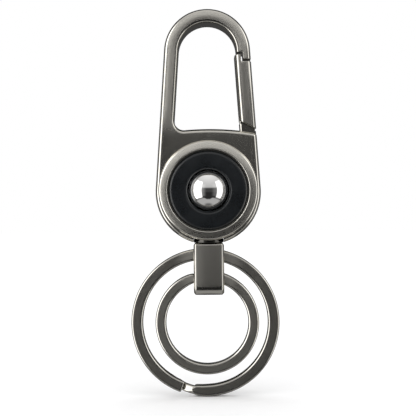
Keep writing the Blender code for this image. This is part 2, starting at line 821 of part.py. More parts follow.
def make_split_ring(name, radius, face, shift, axis_z, lift, joint_degrees, steps, groups, paint):
    """Two turns of flat strip. The front turn starts at the joint, runs clockwise, dips down a
    ramp beside its own start and goes on as the back turn, which ends behind the ramp's top."""
    parts, tools = groups
    middle = radius - face / 2
    ramp = RAMP_LENGTH / middle
    end_gap = END_GAP / middle
    ramp_start = 2 * math.pi - ramp - end_gap
    ramp_end = ramp_start + ramp
    total = ramp_end + ramp_start - end_gap
    layer = (STRIP_THICKNESS + TURN_GAP) / 2
    turns = spread(0, ramp_start, steps)
    turns += spread(ramp_start, ramp_end, RAMP_STEPS)
    turns += spread(ramp_end, total, steps)
    turns.append(total)
    curve = bpy.data.curves.new(name, "CURVE")
    curve.dimensions = "3D"
    curve.twist_mode = "Z_UP"
    curve.bevel_mode = "OBJECT"
    curve.bevel_object = strip_section(name + "_strip", face, tools)
    curve.use_fill_caps = True
    line = curve.splines.new("POLY")
    line.points.add(len(turns) - 1)
    joint = math.radians(joint_degrees)
    for point, turn in zip(line.points, turns):
        share = (turn - ramp_start) / ramp
        height = layer * (1 - 2 * smooth_step(share))
        neck = max(0, 1 - abs(2 * share - 1)) ** 0.5
        x = middle * math.cos(joint - turn)
        z = middle * math.sin(joint - turn)
        point.co = (x, z, height, 1)
        point.radius = 1 - (1 - RAMP_NECK_SHARE) * neck
    ring = mesh_object(name, curve, parts)
    ring.location = (shift, 0, axis_z + lift - middle)
    ring.rotation_euler.x = math.pi / 2
    set_axis(ring, (shift, 0, axis_z))
    return dress(ring, paint)


def main():
    clear_scene()
    parts = new_collection("carabiner_keychain")
    tools = new_collection("cutters")
    gunmetal = new_material("satin_gunmetal", (0.085, 0.082, 0.078), 1, 0.32)
    gate_metal = new_material("brushed_gate_metal", (0.11, 0.107, 0.102), 1, 0.30)
    bezel_metal = new_material("polished_bezel_metal", (0.16, 0.157, 0.15), 1, 0.24)
    link_metal = new_material("polished_link_metal", (0.10, 0.097, 0.092), 1, 0.22)
    ring_metal = new_material("ring_steel", (0.20, 0.195, 0.188), 1, 0.24)
    ball_metal = new_material("mirror_steel", (0.62, 0.61, 0.60), 1, 0.05)
    black = new_material("black_inlay", (0.012, 0.013, 0.016), 0, 0.35)
    nylon = new_material("black_nylon", (0.02, 0.02, 0.02), 0, 0.5)
    dark_steel = new_material("blackened_steel", (0.02, 0.02, 0.021), 1, 0.25)
    spring_steel = new_material("spring_steel", (0.40, 0.40, 0.40), 1, 0.25)

    body = make_body(parts, tools, gunmetal)
    for piece in (
        make_bezel(parts, bezel_metal),
        make_inlay(parts, black),
        make_cup(parts, nylon),
    ):
        carry(piece, body)

    hinge = pivot("gate_hinge", gate_pin_place(0), parts, body)
    for piece in (
        make_gate(parts, tools, gate_metal),
        make_gate_pin(parts, dark_steel),
        make_gate_spring(parts, spring_steel),
    ):
        carry(piece, hinge)

    carry(make_ball(parts, ball_metal), body)

    swivel = pivot("link_swivel", (0, 0, LINK_TOP), parts, body)
    for piece in (
        make_swivel_pin(parts, dark_steel),
        make_collar(parts, dark_steel),
        make_link(parts, tools, link_metal),
    ):
        carry(piece, swivel)

    rings = [
        (
            "large_ring",
            LARGE_RING_RADIUS,
            LARGE_STRIP_FACE,
            LARGE_RING_SHIFT,
            LARGE_AXIS_Z,
            LARGE_LIFT,
            LARGE_JOINT_DEGREES,
            LARGE_RING_STEPS,
        ),
        (
            "small_ring",
            SMALL_RING_RADIUS,
            SMALL_STRIP_FACE,
            SMALL_RING_SHIFT,
            SMALL_AXIS_Z,
            SMALL_LIFT,
            SMALL_JOINT_DEGREES,
            SMALL_RING_STEPS,
        ),
    ]
    for sizes in rings:
        carry(make_split_ring(*sizes, (parts, tools), ring_metal), swivel)


main()
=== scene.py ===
import math

import bmesh
import bpy
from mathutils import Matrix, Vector


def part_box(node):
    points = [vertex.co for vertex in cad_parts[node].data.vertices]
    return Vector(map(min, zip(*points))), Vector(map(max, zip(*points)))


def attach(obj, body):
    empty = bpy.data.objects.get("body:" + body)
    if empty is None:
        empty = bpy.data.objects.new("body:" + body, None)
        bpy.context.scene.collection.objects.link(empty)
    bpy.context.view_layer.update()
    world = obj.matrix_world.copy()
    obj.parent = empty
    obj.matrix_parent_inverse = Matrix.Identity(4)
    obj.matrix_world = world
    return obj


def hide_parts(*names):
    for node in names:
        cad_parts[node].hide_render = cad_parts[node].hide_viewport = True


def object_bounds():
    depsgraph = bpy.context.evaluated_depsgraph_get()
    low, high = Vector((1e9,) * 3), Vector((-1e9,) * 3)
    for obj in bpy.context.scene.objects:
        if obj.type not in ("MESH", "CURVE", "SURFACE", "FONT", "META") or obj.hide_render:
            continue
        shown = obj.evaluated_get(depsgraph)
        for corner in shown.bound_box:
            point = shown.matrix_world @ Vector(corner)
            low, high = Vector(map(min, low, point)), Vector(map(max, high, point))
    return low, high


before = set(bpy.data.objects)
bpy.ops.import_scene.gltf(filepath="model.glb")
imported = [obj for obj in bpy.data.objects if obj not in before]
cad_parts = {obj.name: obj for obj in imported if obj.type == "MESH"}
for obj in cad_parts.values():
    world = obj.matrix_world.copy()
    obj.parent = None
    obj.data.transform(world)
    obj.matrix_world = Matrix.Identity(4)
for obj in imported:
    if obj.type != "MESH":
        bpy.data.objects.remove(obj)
CAD_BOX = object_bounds()

# ---------------------------------------------------------------- sizes, in metres
# The hook seen from the front: an upper and a lower round, joined by two long straight edges
BOW_RADIUS = 0.0104
END_RADIUS = 0.0127
CENTRE_SPACING = 0.0337
BAR_WIDTH = 0.0034
FRONT = 0.0035
BOW_Z = BAR_WIDTH - BOW_RADIUS
END_Z = BOW_Z - CENTRE_SPACING
BOSS_Z = END_Z + 0.00035
LEAN = math.asin((END_RADIUS - BOW_RADIUS) / CENTRE_SPACING)
WINDOW_DROP = 0.01855
WINDOW_FLOOR_RADIUS = 0.067
WINDOW_FLOOR_Z = BOW_Z - WINDOW_DROP - WINDOW_FLOOR_RADIUS
WINDOW_CORNER = 0.0024
SHOULDER_CORNER = 0.0011
OUTLINE_STEPS = 96

# The rolled rims and the ground crown of the bars
INNER_SHARE = 0.58
GATE_SHARE = 1.1
INNER_BLEND = 0.0012
FLOOR_BLEND = 0.0022
FACE_TILT = math.radians(18)
FACE_HALF = 0.00108
PLATE_TAIL = 0.00028
EDGE_LAND = 0.00008
CROWN_FADE_TOP = -0.0200
CROWN_FADE_BOTTOM = -0.0256
SATIN_TOP = -0.0222
SATIN_BOTTOM = -0.0285
FACE_GRID = 0.00035

# The seams between the nose, the gate and the lug
GATE_WIDTH = BAR_WIDTH + 0.0005
GATE_GAP = 0.00058
NOSE_DROP = 0.0007
LIP_DROP = 0.0025
LIP_WIDTH = BAR_WIDTH * 0.54
FOOT_LIFT = 0.00095
FOOT_RISE = 0.0020
SEAM_BEVEL = 0.00013
SEAM_CORNER = 0.0003
SEAM_REACH = 0.0007

# The lug, its tongue and the gate's fork
LUG_INSET = 0.00015
LUG_SINK = 0.0012
LUG_SETBACK = 0.0006
LUG_ROUNDING = 0.00048
LUG_LAND = 0.00006
PIVOT_LIFT = 0.0041
PIVOT_INSET = BAR_WIDTH / 2
TONGUE_RADIUS = PIVOT_INSET - 0.0003
TONGUE_HALF = 0.0016
TONGUE_INSET = 0.0001
TONGUE_STEP = 0.0005
FORK_HALF = 0.0019
FORK_CLEARANCE = 0.0003
PIN_BORE = 0.0009
PIN_SKIN = 0.0026
SPRING_BORE = 0.00075
SPRING_INSET = BAR_WIDTH - 0.0011
SPRING_LENGTH = 0.0085
SPRING_MOUTH = 0.001

# The boss's bores, as heights towards the viewer, and the notch and bores below it
BACK_FACE = -0.003849
BACK_ROOT = -0.0025
BACK_RADIUS = 0.0120
BACK_FLAT = 0.0106
INLAY_BORE = 0.0105
INLAY_SEAT = 0.00235
CUP_BORE = 0.0067
CUP_FLOOR = -0.003
BORE_MOUTH = 0.006
NOTCH_HALF = 0.0037
NOTCH_TOP = -0.05195
NOTCH_BOTTOM = -0.056
SHANK_BORE = 0.0015
SHANK_TOP = -0.0485
SHANK_BOTTOM = -0.0525
HEAD_HALF = 0.0024
HEAD_FRONT = -0.0021
HEAD_TOP = -0.0460
HEAD_FLOOR = -0.04985

# Working values of the tools
OVERRUN = 0.0025
CUT_HALF = 0.005
CUT_DEPTH = 0.012
TINY = 0.000001
BISECT_REACH = 0.00001
FLAT = 0.99999
NEARLY_FLAT = 0.999
SHARP = 0.6
ROD_SIDES = 48

FACING = Vector((0, -1, 0))
UPWARD = Vector((0, 0, 1))
RIGHTWARD = Vector((1, 0, 0))
BACKWARD = Vector((0, 1, 0))


def upright(across, height, depth=0.0):
    """A point in the object's frame, from across, height and depth."""
    return Vector((across, depth, height))


BOW = upright(0, BOW_Z)
END = upright(0, END_Z)
FLOOR_CENTRE = upright(0, WINDOW_FLOOR_Z)
BOSS = upright(0, BOSS_Z)
OUTWARD = upright(math.cos(LEAN), math.sin(LEAN))
DOWNWARD = upright(math.sin(LEAN), -math.cos(LEAN))


def side_point(inset, drop, side=1):
    """A point beside a long edge: inset from the outer edge, drop down from the bow's centre."""
    place = BOW + OUTWARD * (BOW_RADIUS - inset) + DOWNWARD * drop
    return upright(side * place.x, place.z)


def drop_to_circle(inset, centre, radius, side=1):
    """How far down the line at this inset first comes within radius of centre."""
    start = side_point(inset, 0, side) - centre
    along = side_point(inset, 1, side) - side_point(inset, 0, side)
    half = start.dot(along)
    return -half - math.sqrt(half * half - start.length_squared + radius * radius)


SHOULDER_DROP = drop_to_circle(0, FLOOR_CENTRE, WINDOW_FLOOR_RADIUS)
FOOT_DROP = SHOULDER_DROP - FOOT_LIFT
PIVOT_DROP = FOOT_DROP - PIVOT_LIFT
PIVOT = side_point(PIVOT_INSET, PIVOT_DROP)


# ---------------------------------------------------------------- hand tools
def rest_hands():
    """Leaves edit mode and deselects everything."""
    if bpy.context.object and bpy.context.object.mode != "OBJECT":
        bpy.ops.object.mode_set(mode="OBJECT")
    bpy.ops.object.select_all(action="DESELECT")


def take(piece):
    """Makes one piece the only selected and the active one."""
    rest_hands()
    piece.select_set(True)
    bpy.context.view_layer.objects.active = piece


def added(name):
    """Names the primitive just added and puts its place into its mesh."""
    piece = bpy.context.object
    piece.name = name
    piece.data.name = name
    bpy.ops.object.transform_apply(location=True, rotation=True, scale=True)
    return piece


def pick(piece, kind, wanted):
    """Opens a piece for editing with only the wanted points, edges or faces selected."""
    take(piece)
    bpy.ops.object.mode_set(mode="EDIT")
    bpy.ops.mesh.select_mode(type=kind)
    bpy.ops.mesh.select_all(action="DESELECT")
    work = bmesh.from_edit_mesh(piece.data)
    elements = {"VERT": work.verts, "EDGE": work.edges, "FACE": work.faces}[kind]
    for element in elements:
        if wanted(element):
            element.select_set(True)
    work.select_flush_mode()
    bmesh.update_edit_mesh(piece.data)


def every(element):
    return True


def tidy_mesh(piece):
    """Merges doubles and turns all faces outwards."""
    pick(piece, "VERT", every)
    bpy.ops.mesh.remove_doubles(threshold=TINY)
    bpy.ops.mesh.normals_make_consistent(inside=False)
    rest_hands()


def drawn_line(name, points):
    """Draws a line by pulling one point along from place to place."""
    rest_hands()
    bpy.ops.mesh.primitive_plane_add(size=0.001, location=points[0])
    piece = added(name)
    pick(piece, "VERT", every)
    bpy.ops.mesh.merge(type="CENTER")
    for last, new in zip(points, points[1:]):
        bpy.ops.mesh.extrude_region_move(TRANSFORM_OT_translate={"value": new - last})
    return piece


def drawn_block(name, points, thickness):
    """Draws an outline, fills it and pulls it out to a block centred on the drawing."""
    start = -thickness / 2
    piece = drawn_line(name, [point + start for point in points])
    bpy.ops.mesh.select_all(action="SELECT")
    bpy.ops.mesh.edge_face_add()
    bpy.ops.mesh.extrude_region_move(TRANSFORM_OT_translate={"value": thickness})
    tidy_mesh(piece)
    return piece


def arc(centre, radius, start, end, steps, across=RIGHTWARD):
    """Points on an upright arc about centre, from the start angle to the end angle."""
    angles = [start + (end - start) * k / steps for k in range(steps + 1)]
    return [centre + radius * (across * math.cos(a) + UPWARD * math.sin(a)) for a in angles]


def angle_of(vector):
    return math.atan2(vector.z, vector.x)


def refine(piece, kind, **settings):
    """Adds a modifier and applies it."""
    take(piece)
    step = piece.modifiers.new(kind.title(), kind)
    for name, value in settings.items():
        setattr(step, name, value)
    bpy.ops.object.modifier_apply(modifier=step.name)


def combine(piece, tool, operation="DIFFERENCE"):
    """Cuts the tool from a piece, joins it on or keeps what they share, and throws it away."""
    refine(piece, "BOOLEAN", object=tool, operation=operation, solver="EXACT")
    bpy.data.objects.remove(tool)


def round_off(piece, width, steps=3, angle=35):
    """Rounds every edge that is sharper than the angle."""
    limit = math.radians(angle)
    refine(piece, "BEVEL", width=width, segments=steps, limit_method="ANGLE", angle_limit=limit)


def smooth(piece, angle=30):
    """Shades a piece smooth, with its edges above the angle kept crisp."""
    take(piece)
    bpy.ops.object.shade_smooth_by_angle(angle=math.radians(angle), keep_sharp_edges=True)
    return piece


def turned(name, profile, place, axis, steps, closed=True):
    """Turns a profile of radius and height pairs about an axis, as on a lathe."""
    points = [place + RIGHTWARD * radius + axis * height for radius, height in profile]
    piece = drawn_line(name, points + points[:1] if closed else points)
    bpy.ops.mesh.select_all(action="SELECT")
    bpy.ops.mesh.remove_doubles(threshold=TINY)
    bpy.ops.mesh.select_all(action="SELECT")
    bpy.ops.mesh.spin(steps=steps, angle=2 * math.pi, center=place, axis=axis)
    tidy_mesh(piece)
    return piece


def rod(name, radius, start, end):
    """A plain round cutter between two points."""
    rest_hands()
    along = end - start
    turn = along.to_track_quat("Z", "Y").to_euler()
    bpy.ops.mesh.primitive_cylinder_add(
        vertices=ROD_SIDES,
        radius=radius,
        depth=along.length,
        location=(start + end) / 2,
        rotation=turn,
    )
    return added(name)


def block(name, low, high):
    """A plain square cutter between two corners."""
    rest_hands()
    middle = (low + high) / 2
    bpy.ops.mesh.primitive_cube_add(size=1, location=middle, scale=high - low)
    return added(name)


def ease(share):
    """A share from 0 to 1, made to start and end softly."""
    share = min(max(share, 0), 1)
    return share * share * (3 - 2 * share)


# ---------------------------------------------------------------- hook body and gate
def edge_profile(*arcs):
    """Insets that roll an edge over: how far in and how far out for each step of each arc."""
    moves = []
    for radius, start, end, steps in arcs:
        tilts = [math.radians(start + (end - start) * k / steps) for k in range(steps + 1)]
        for a, b in zip(tilts, tilts[1:]):
            inset = radius * (math.sin(a) - math.sin(b))
            out = radius * (math.cos(b) - math.cos(a))
            moves.append((inset, out))
    return moves


ROLL = edge_profile((0.0016, 90, 46, 6), (0.00062, 46, 18, 6))
EDGE_PROFILE = ROLL + edge_profile((PLATE_TAIL / math.sin(FACE_TILT), 18, 0, 5))
ROLL_WIDTH = sum(inset for inset, out in ROLL)
EDGE_DEPTH = sum(out for inset, out in EDGE_PROFILE)


def roll_edges(piece, facing, profile):
    """Rolls the rim of the flat end that faces this way over, by one small inset after another."""
    pick(piece, "FACE", lambda face: face.normal.dot(facing) > FLAT)
    for inset, out in profile:
        bpy.ops.mesh.inset(thickness=inset, depth=out, use_even_offset=True)
    rest_hands()


def outer_inset(place):
    """How far a point of the face lies from the hook's outer edge."""
    across = abs(place.x)
    from_bow = Vector((across, 0, place.z - BOW_Z))
    down = from_bow.dot(DOWNWARD)
    if down < 0:
        return BOW_RADIUS - from_bow.length
    if down > CENTRE_SPACING * math.cos(LEAN):
        return END_RADIUS - Vector((across, 0, place.z - END_Z)).length
    return BOW_RADIUS - from_bow.dot(OUTWARD)


def roll_share(place, inner_share):
    """The size of the roll along the nearest edge: full outside and on the window's floor."""
    from_floor = abs((place - FLOOR_CENTRE).xz.length - WINDOW_FLOOR_RADIUS)
    inside = ease(outer_inset(place) / INNER_BLEND) * ease(from_floor / FLOOR_BLEND)
    return 1 - (1 - inner_share) * inside


def tighten_inner_rolls(piece, inner_share):
    """Draws the rolls along the opening up to a smaller size than those of the outer edge."""
    points = piece.data.vertices
    levels = [abs(point.co.y) for point in points]
    higher = {}
    for edge in piece.data.edges:
        low, high = sorted(edge.vertices, key=lambda index: levels[index])
        if levels[high] > levels[low] + TINY:
            higher[low] = high
    rim = FRONT - EDGE_DEPTH
    for foot in [index for index, level in enumerate(levels) if abs(level - rim) < TINY]:
        start = points[foot].co.copy()
        share = roll_share(start, inner_share)
        column = foot
        while column is not None:
            spot = points[column].co
            spot.x = start.x + (spot.x - start.x) * share
            spot.z = start.z + (spot.z - start.z) * share
            spot.y = math.copysign(FRONT - (FRONT - levels[column]) * share, spot.y)
            column = higher.get(column)


def cast_block(name, outline, inner_share):
    """A block of the body's thickness with both rims rolled over."""
    wall = 2 * (FRONT - EDGE_DEPTH)
    piece = drawn_block(name, outline, Vector((0, wall, 0)))
    sides = [Vector((0, side, 0)) for side in (-1, 1)]
    for side in sides:
        roll_edges(piece, side, EDGE_PROFILE)
    tighten_inner_rolls(piece, inner_share)
    for side in sides:
        roll_edges(piece, side, [(EDGE_LAND, 0)])
    return piece


def body_outline():
    """The hook's C, its nose drawn too long so that the seam can be cut square."""
    left = math.pi - LEAN
    points = [side_point(0, LIP_DROP + OVERRUN)]
    points += arc(BOW, BOW_RADIUS, LEAN, left, OUTLINE_STEPS)
    points += arc(END, END_RADIUS, left, 2 * math.pi + LEAN, OUTLINE_STEPS)
    fillet_reach = WINDOW_FLOOR_RADIUS - SHOULDER_CORNER
    fillet_drop = drop_to_circle(SHOULDER_CORNER, FLOOR_CENTRE, fillet_reach)
    shoulder = side_point(SHOULDER_CORNER, fillet_drop)
    shoulder_turn = angle_of(shoulder - FLOOR_CENTRE)
    points += arc(shoulder, SHOULDER_CORNER, LEAN, shoulder_turn, 16)
    corner_inset = BAR_WIDTH + WINDOW_CORNER
    corner_reach = WINDOW_FLOOR_RADIUS + WINDOW_CORNER
    corner_drop = drop_to_circle(corner_inset, FLOOR_CENTRE, corner_reach, -1)
    corner = side_point(corner_inset, corner_drop, -1)
    corner_turn = angle_of(corner - FLOOR_CENTRE)
    floor = arc(FLOOR_CENTRE, WINDOW_FLOOR_RADIUS, shoulder_turn, corner_turn, 24)
    points += floor[1:-1]
    points += arc(corner, WINDOW_CORNER, corner_turn + math.pi, left, 20)
    points += arc(BOW, BOW_RADIUS - BAR_WIDTH, left, LEAN, OUTLINE_STEPS)
    points.append(side_point(BAR_WIDTH, LIP_DROP + OVERRUN))
    return points


def ground_rise(distance, width):
    """The height of a ground face that starts tilted and levels out over this width."""
    reach = min(max(distance / width, 0), 1)
    return math.tan(FACE_TILT) * width * (reach - reach * reach / 2)


def crown(place, width, inner_share):
    """How far the crowned face of a bar this wide stands above the flat face of the plate."""
    outer = outer_inset(place)
    below = WINDOW_FLOOR_RADIUS - (place - FLOOR_CENTRE).xz.length
    share = 1.0 if outer < width / 2 else roll_share(place, inner_share)
    distance = min(outer, max(width - outer, below)) - ROLL_WIDTH * share
    fade = ease((place.z - CROWN_FADE_BOTTOM) / (CROWN_FADE_TOP - CROWN_FADE_BOTTOM))
    return fade * (ground_rise(distance, FACE_HALF) - ground_rise(distance, PLATE_TAIL * share))


def on_outside(face):
    """Whether a face lies in the flat front or back."""
    return abs(face.normal.y) > NEARLY_FLAT and abs(face.verts[0].co.y) > FRONT - SEAM_BEVEL


def grid_face(piece, low, high, step, along):
    """Cuts the flat faces into strips across one direction, so that they can be shaped."""
    count = math.ceil((high - low) / step)
    for k in range(1, count):
        place = along * (low + (high - low) * k / count)
        pick(piece, "FACE", on_outside)
        bpy.ops.mesh.bisect(plane_co=place, plane_no=along, threshold=BISECT_REACH)
    rest_hands()


def crown_faces(piece, width, inner_share):
    """Grinds the slight crown into the front and back of the bars."""
    low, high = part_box(piece.name.replace("_shape", ""))
    grid_face(piece, low.x, high.x, FACE_GRID, RIGHTWARD)
    grid_face(piece, max(low.z, CROWN_FADE_BOTTOM), high.z, FACE_GRID, UPWARD)
    for point in piece.data.vertices:
        if abs(point.co.y) > FRONT - SEAM_BEVEL - TINY:
            point.co.y += math.copysign(crown(point.co, width, inner_share), point.co.y)


def foot_drop(inset):
    """How far down the gate's slanted foot lies at this inset."""
    return FOOT_DROP - FOOT_RISE * inset / BAR_WIDTH


def filleted(corners, chosen):
    """Rounds the chosen square corners of an outline of inset and drop pairs."""
    steps = 5
    rounded = []
    for k, corner in enumerate(corners):
        if k not in chosen:
            rounded.append(corner)
            continue
        here = Vector(corner)
        before = (Vector(corners[k - 1]) - here).normalized() * SEAM_CORNER
        following = Vector(corners[(k + 1) % len(corners)])
        after = (following - here).normalized() * SEAM_CORNER
        for step in range(steps + 1):
            turn = math.pi / 2 * step / steps
            place = here + before * (1 - math.sin(turn)) + after * (1 - math.cos(turn))
            rounded.append((place.x, place.y))
    return rounded


def seam_tool(name, corners, depth=CUT_DEPTH):
    """A cutter drawn from inset and drop pairs beside the right edge."""
    points = [side_point(inset, drop) for inset, drop in corners]
    return drawn_block(name, points, Vector((0, depth, 0)))


def bevel_cut(piece, on_cut, width=SEAM_BEVEL):
    """Takes the sharp arris off the edges round a cut."""
    pick(piece, "EDGE", lambda edge: edge.calc_face_angle(0) > SHARP and on_cut(edge))
    bpy.ops.mesh.bevel(offset=width, segments=3, affect="EDGES")
    rest_hands()


def inset_and_drop(place):
    """The inset and drop of a point beside the right edge."""
    from_bow = Vector((place.x, 0, place.z - BOW_Z))
    return BOW_RADIUS - from_bow.dot(OUTWARD), from_bow.dot(DOWNWARD)


def edge_places(edge):
    return [inset_and_drop(point.co) for point in edge.verts]


def near_nose(edge):
    """Whether an edge lies at the seam between the nose and the gate's tip."""
    limit = LIP_DROP + SEAM_REACH
    return all(
        0 < drop < limit and inset < GATE_WIDTH + TINY for inset, drop in edge_places(edge)
    )


def near_foot(edge):
    """Whether an edge lies at the gate's foot."""
    return all(abs(drop - foot_drop(inset)) < SEAM_REACH for inset, drop in edge_places(edge))


def make_lug(sunk):
    """The block below the gate's foot, its top parallel to the foot, its inner edges rounded."""
    gap = GATE_GAP / math.cos(math.atan2(FOOT_RISE, BAR_WIDTH))
    corners = [
        (LUG_INSET, sunk),
        (LUG_INSET, foot_drop(LUG_INSET) + gap),
        (GATE_WIDTH, foot_drop(GATE_WIDTH) + gap),
        (GATE_WIDTH, sunk),
    ]
    lug = seam_tool("lug", corners, 2 * FRONT - 2 * LUG_SETBACK)

    def on_inner_side(edge):
        one_face = edge.verts[0].co.y * edge.verts[1].co.y > 0
        return one_face and all(
            abs(inset - GATE_WIDTH) < 0.0001 for inset, drop in edge_places(edge)
        )

    pick(lug, "EDGE", on_inner_side)
    bpy.ops.mesh.bevel(offset=LUG_ROUNDING, segments=5)
    rest_hands()
    pick(lug, "FACE", lambda face: abs(face.normal.y) > NEARLY_FLAT)
    bpy.ops.mesh.inset(thickness=LUG_LAND)
    rest_hands()
    return lug


def make_tongue(sunk):
    """The tongue between the fork's ears, rounded outside and square inside."""
    flank = GATE_WIDTH - TONGUE_INSET
    outline = [
        side_point(PIVOT_INSET - TONGUE_RADIUS, sunk),
        *arc(PIVOT, TONGUE_RADIUS, LEAN, LEAN + math.pi / 2, 24),
        side_point(PIVOT_INSET + TONGUE_RADIUS, PIVOT_DROP - TONGUE_RADIUS),
        side_point(PIVOT_INSET + TONGUE_RADIUS, PIVOT_DROP),
        side_point(flank, PIVOT_DROP + TONGUE_STEP),
        side_point(flank, sunk),
    ]
    tongue = drawn_block("tongue", outline, Vector((0, 2 * TONGUE_HALF, 0)))
    round_off(tongue, 0.0001, 2)
    return tongue


def make_body():
    body = cast_block("hook_body_shape", body_outline(), INNER_SHARE)
    outside = -OVERRUN
    inside = BAR_WIDTH + OVERRUN
    below = LIP_DROP + 2 * OVERRUN
    nose_line = [
        (outside, LIP_DROP),
        (LIP_WIDTH, LIP_DROP),
        (LIP_WIDTH, NOSE_DROP),
        (inside, NOSE_DROP),
        (inside, below),
        (outside, below),
    ]
    combine(body, seam_tool("nose_cut", filleted(nose_line, (1, 2))))
    bevel_cut(body, near_nose)

    sunk = SHOULDER_DROP + LUG_SINK
    lug = make_lug(sunk)
    tongue = make_tongue(sunk)
    back_profile = [
        (0, BACK_ROOT),
        (BACK_FLAT, BACK_ROOT),
        (BACK_RADIUS, -FRONT),
        (BACK_FLAT, BACK_FACE),
        (0, BACK_FACE),
    ]
    back = turned("back_boss", back_profile, BOSS, FACING, 160, closed=False)
    for solid in (lug, tongue, back):
        combine(body, solid, "UNION")

    bore_profile = [
        (0, BORE_MOUTH),
        (INLAY_BORE, BORE_MOUTH),
        (INLAY_BORE, INLAY_SEAT),
        (CUP_BORE, INLAY_SEAT),
        (CUP_BORE, CUP_FLOOR),
        (0, CUP_FLOOR),
    ]
    combine(body, turned("bores", bore_profile, BOSS, FACING, 120, closed=False))
    notch_low = Vector((-NOTCH_HALF, -CUT_HALF, NOTCH_BOTTOM))
    notch_high = Vector((NOTCH_HALF, CUT_HALF, NOTCH_TOP))
    combine(body, block("notch", notch_low, notch_high))
    shank = rod("shank_bore", SHANK_BORE, upright(0, SHANK_BOTTOM), upright(0, SHANK_TOP))
    combine(body, shank)
    pocket_low = Vector((-HEAD_HALF, HEAD_FRONT, HEAD_FLOOR))
    pocket_high = Vector((HEAD_HALF, HEAD_HALF, HEAD_TOP))
    combine(body, block("head_pocket", pocket_low, pocket_high))
    across = BACKWARD * CUT_HALF
    combine(body, rod("hinge_bore", PIN_BORE, PIVOT - across, PIVOT + across))
    crown_faces(body, BAR_WIDTH, INNER_SHARE)
    return smooth(body, 22)


def make_gate():
    start = NOSE_DROP - OVERRUN
    end = FOOT_DROP + OVERRUN
    corners = [(0, start), (0, end), (GATE_WIDTH, end), (GATE_WIDTH, start)]
    outline = [side_point(inset, drop) for inset, drop in corners]
    gate = cast_block("gate_shape", outline, GATE_SHARE)
    outside = -OVERRUN
    inside = BAR_WIDTH + OVERRUN
    above = NOSE_DROP - 2 * OVERRUN
    tip_inset = LIP_WIDTH + GATE_GAP
    tip_line = [
        (outside, above),
        (outside, LIP_DROP + GATE_GAP),
        (tip_inset, LIP_DROP + GATE_GAP),
        (tip_inset, NOSE_DROP + GATE_GAP),
        (inside, NOSE_DROP + GATE_GAP),
        (inside, above),
    ]
    combine(gate, seam_tool("tip_cut", filleted(tip_line, (2, 3))))
    foot_line = [(outside, foot_drop(outside)), (inside, foot_drop(inside))]
    far = [(inside, end + OVERRUN), (outside, end + OVERRUN)]
    combine(gate, seam_tool("foot_cut", foot_line + far))

    fork_drop = PIVOT_DROP - math.sqrt(2) * TONGUE_RADIUS - FORK_CLEARANCE
    fork_line = [(outside, fork_drop), (inside, fork_drop), (inside, end), (outside, end)]
    combine(gate, seam_tool("fork", fork_line, 2 * FORK_HALF))
    spring_top = side_point(SPRING_INSET, fork_drop - SPRING_LENGTH)
    spring_foot = side_point(SPRING_INSET, fork_drop + SPRING_MOUTH)
    combine(gate, rod("spring_bore", SPRING_BORE, spring_top, spring_foot))
    skin = PIVOT + FACING * PIN_SKIN
    combine(gate, rod("pin_bore", PIN_BORE, skin, PIVOT + BACKWARD * CUT_HALF))
    bevel_cut(gate, near_nose)
    bevel_cut(gate, near_foot)
    crown_faces(gate, GATE_WIDTH, GATE_SHARE)
    return smooth(gate, 22)


# ---------------------------------------------------------------- boss, ball and collar
# Radii across the boss's axis and heights towards the viewer
BEZEL_FOOT_RADIUS = 0.0120
BEZEL_FOOT = 0.00375
BEZEL_CHIN = 0.00395
BEZEL_STEP_RADIUS = 0.0103
BEZEL_HOLE = 0.00985
BEZEL_LIP = 0.0046756
SPIGOT_FOOT = 0.0026
DISH_START = (0.0100, 0.0048006)
DISH_RADIUS = 0.01096
DISH_TILTS = (83, 75)
BEZEL_ROLL = 0.00045
INLAY_FACE = 0.0043506
INLAY_BACK = 0.0026506
INLAY_HOLE = 0.0053
MOUTH_RADIUS = 0.0059
MOUTH_ROLL = 0.0010
INLAY_EDGE_RADIUS = 0.0086
INLAY_EDGE_ROLL = 0.0011
BALL_RADIUS = 0.005
BALL_HEIGHT = 0.0023006
COLLAR_RADIUS = 0.00362
COLLAR_TOP = -0.0521
COLLAR_BOTTOM = -0.0530


def profile_arc(start_point, radius, first, last, steps):
    """An arc of a lathe profile from a point on it, between two tilts in degrees."""
    first, last = math.radians(first), math.radians(last)
    centre = start_point - radius * upright(math.cos(first), math.sin(first))
    return arc(centre, radius, first, last, steps)


def pairs(points):
    return [(point.x, point.z) for point in points]


def make_bezel():
    dished = profile_arc(upright(*DISH_START), DISH_RADIUS, *DISH_TILTS, 6)
    rolled = profile_arc(dished[-1], BEZEL_ROLL, DISH_TILTS[1], 10, 7)
    profile = pairs(dished + rolled[1:])
    profile += [
        (BEZEL_FOOT_RADIUS, BEZEL_CHIN),
        (BEZEL_FOOT_RADIUS, BEZEL_FOOT),
        (BEZEL_STEP_RADIUS, BEZEL_FOOT),
        (BEZEL_STEP_RADIUS, SPIGOT_FOOT),
        (BEZEL_HOLE, SPIGOT_FOOT),
        (BEZEL_HOLE, BEZEL_LIP),
    ]
    bezel = turned("bezel_ring_shape", profile, BOSS, FACING, 240)
    round_off(bezel, 0.00007, 3, 20)
    return smooth(bezel)


def make_inlay():
    top = math.pi / 2
    mouth_centre = upright(MOUTH_RADIUS, INLAY_FACE - MOUTH_ROLL)
    mouth = arc(mouth_centre, MOUTH_ROLL, math.radians(168), top, 12)
    edge_centre = upright(INLAY_EDGE_RADIUS, INLAY_FACE - INLAY_EDGE_ROLL)
    edge = arc(edge_centre, INLAY_EDGE_ROLL, top, math.radians(27), 9)
    profile = pairs(mouth + edge)
    profile += [(profile[-1][0], INLAY_BACK), (INLAY_HOLE, INLAY_BACK)]
    return smooth(turned("inlay_disc_shape", profile, BOSS, FACING, 200))


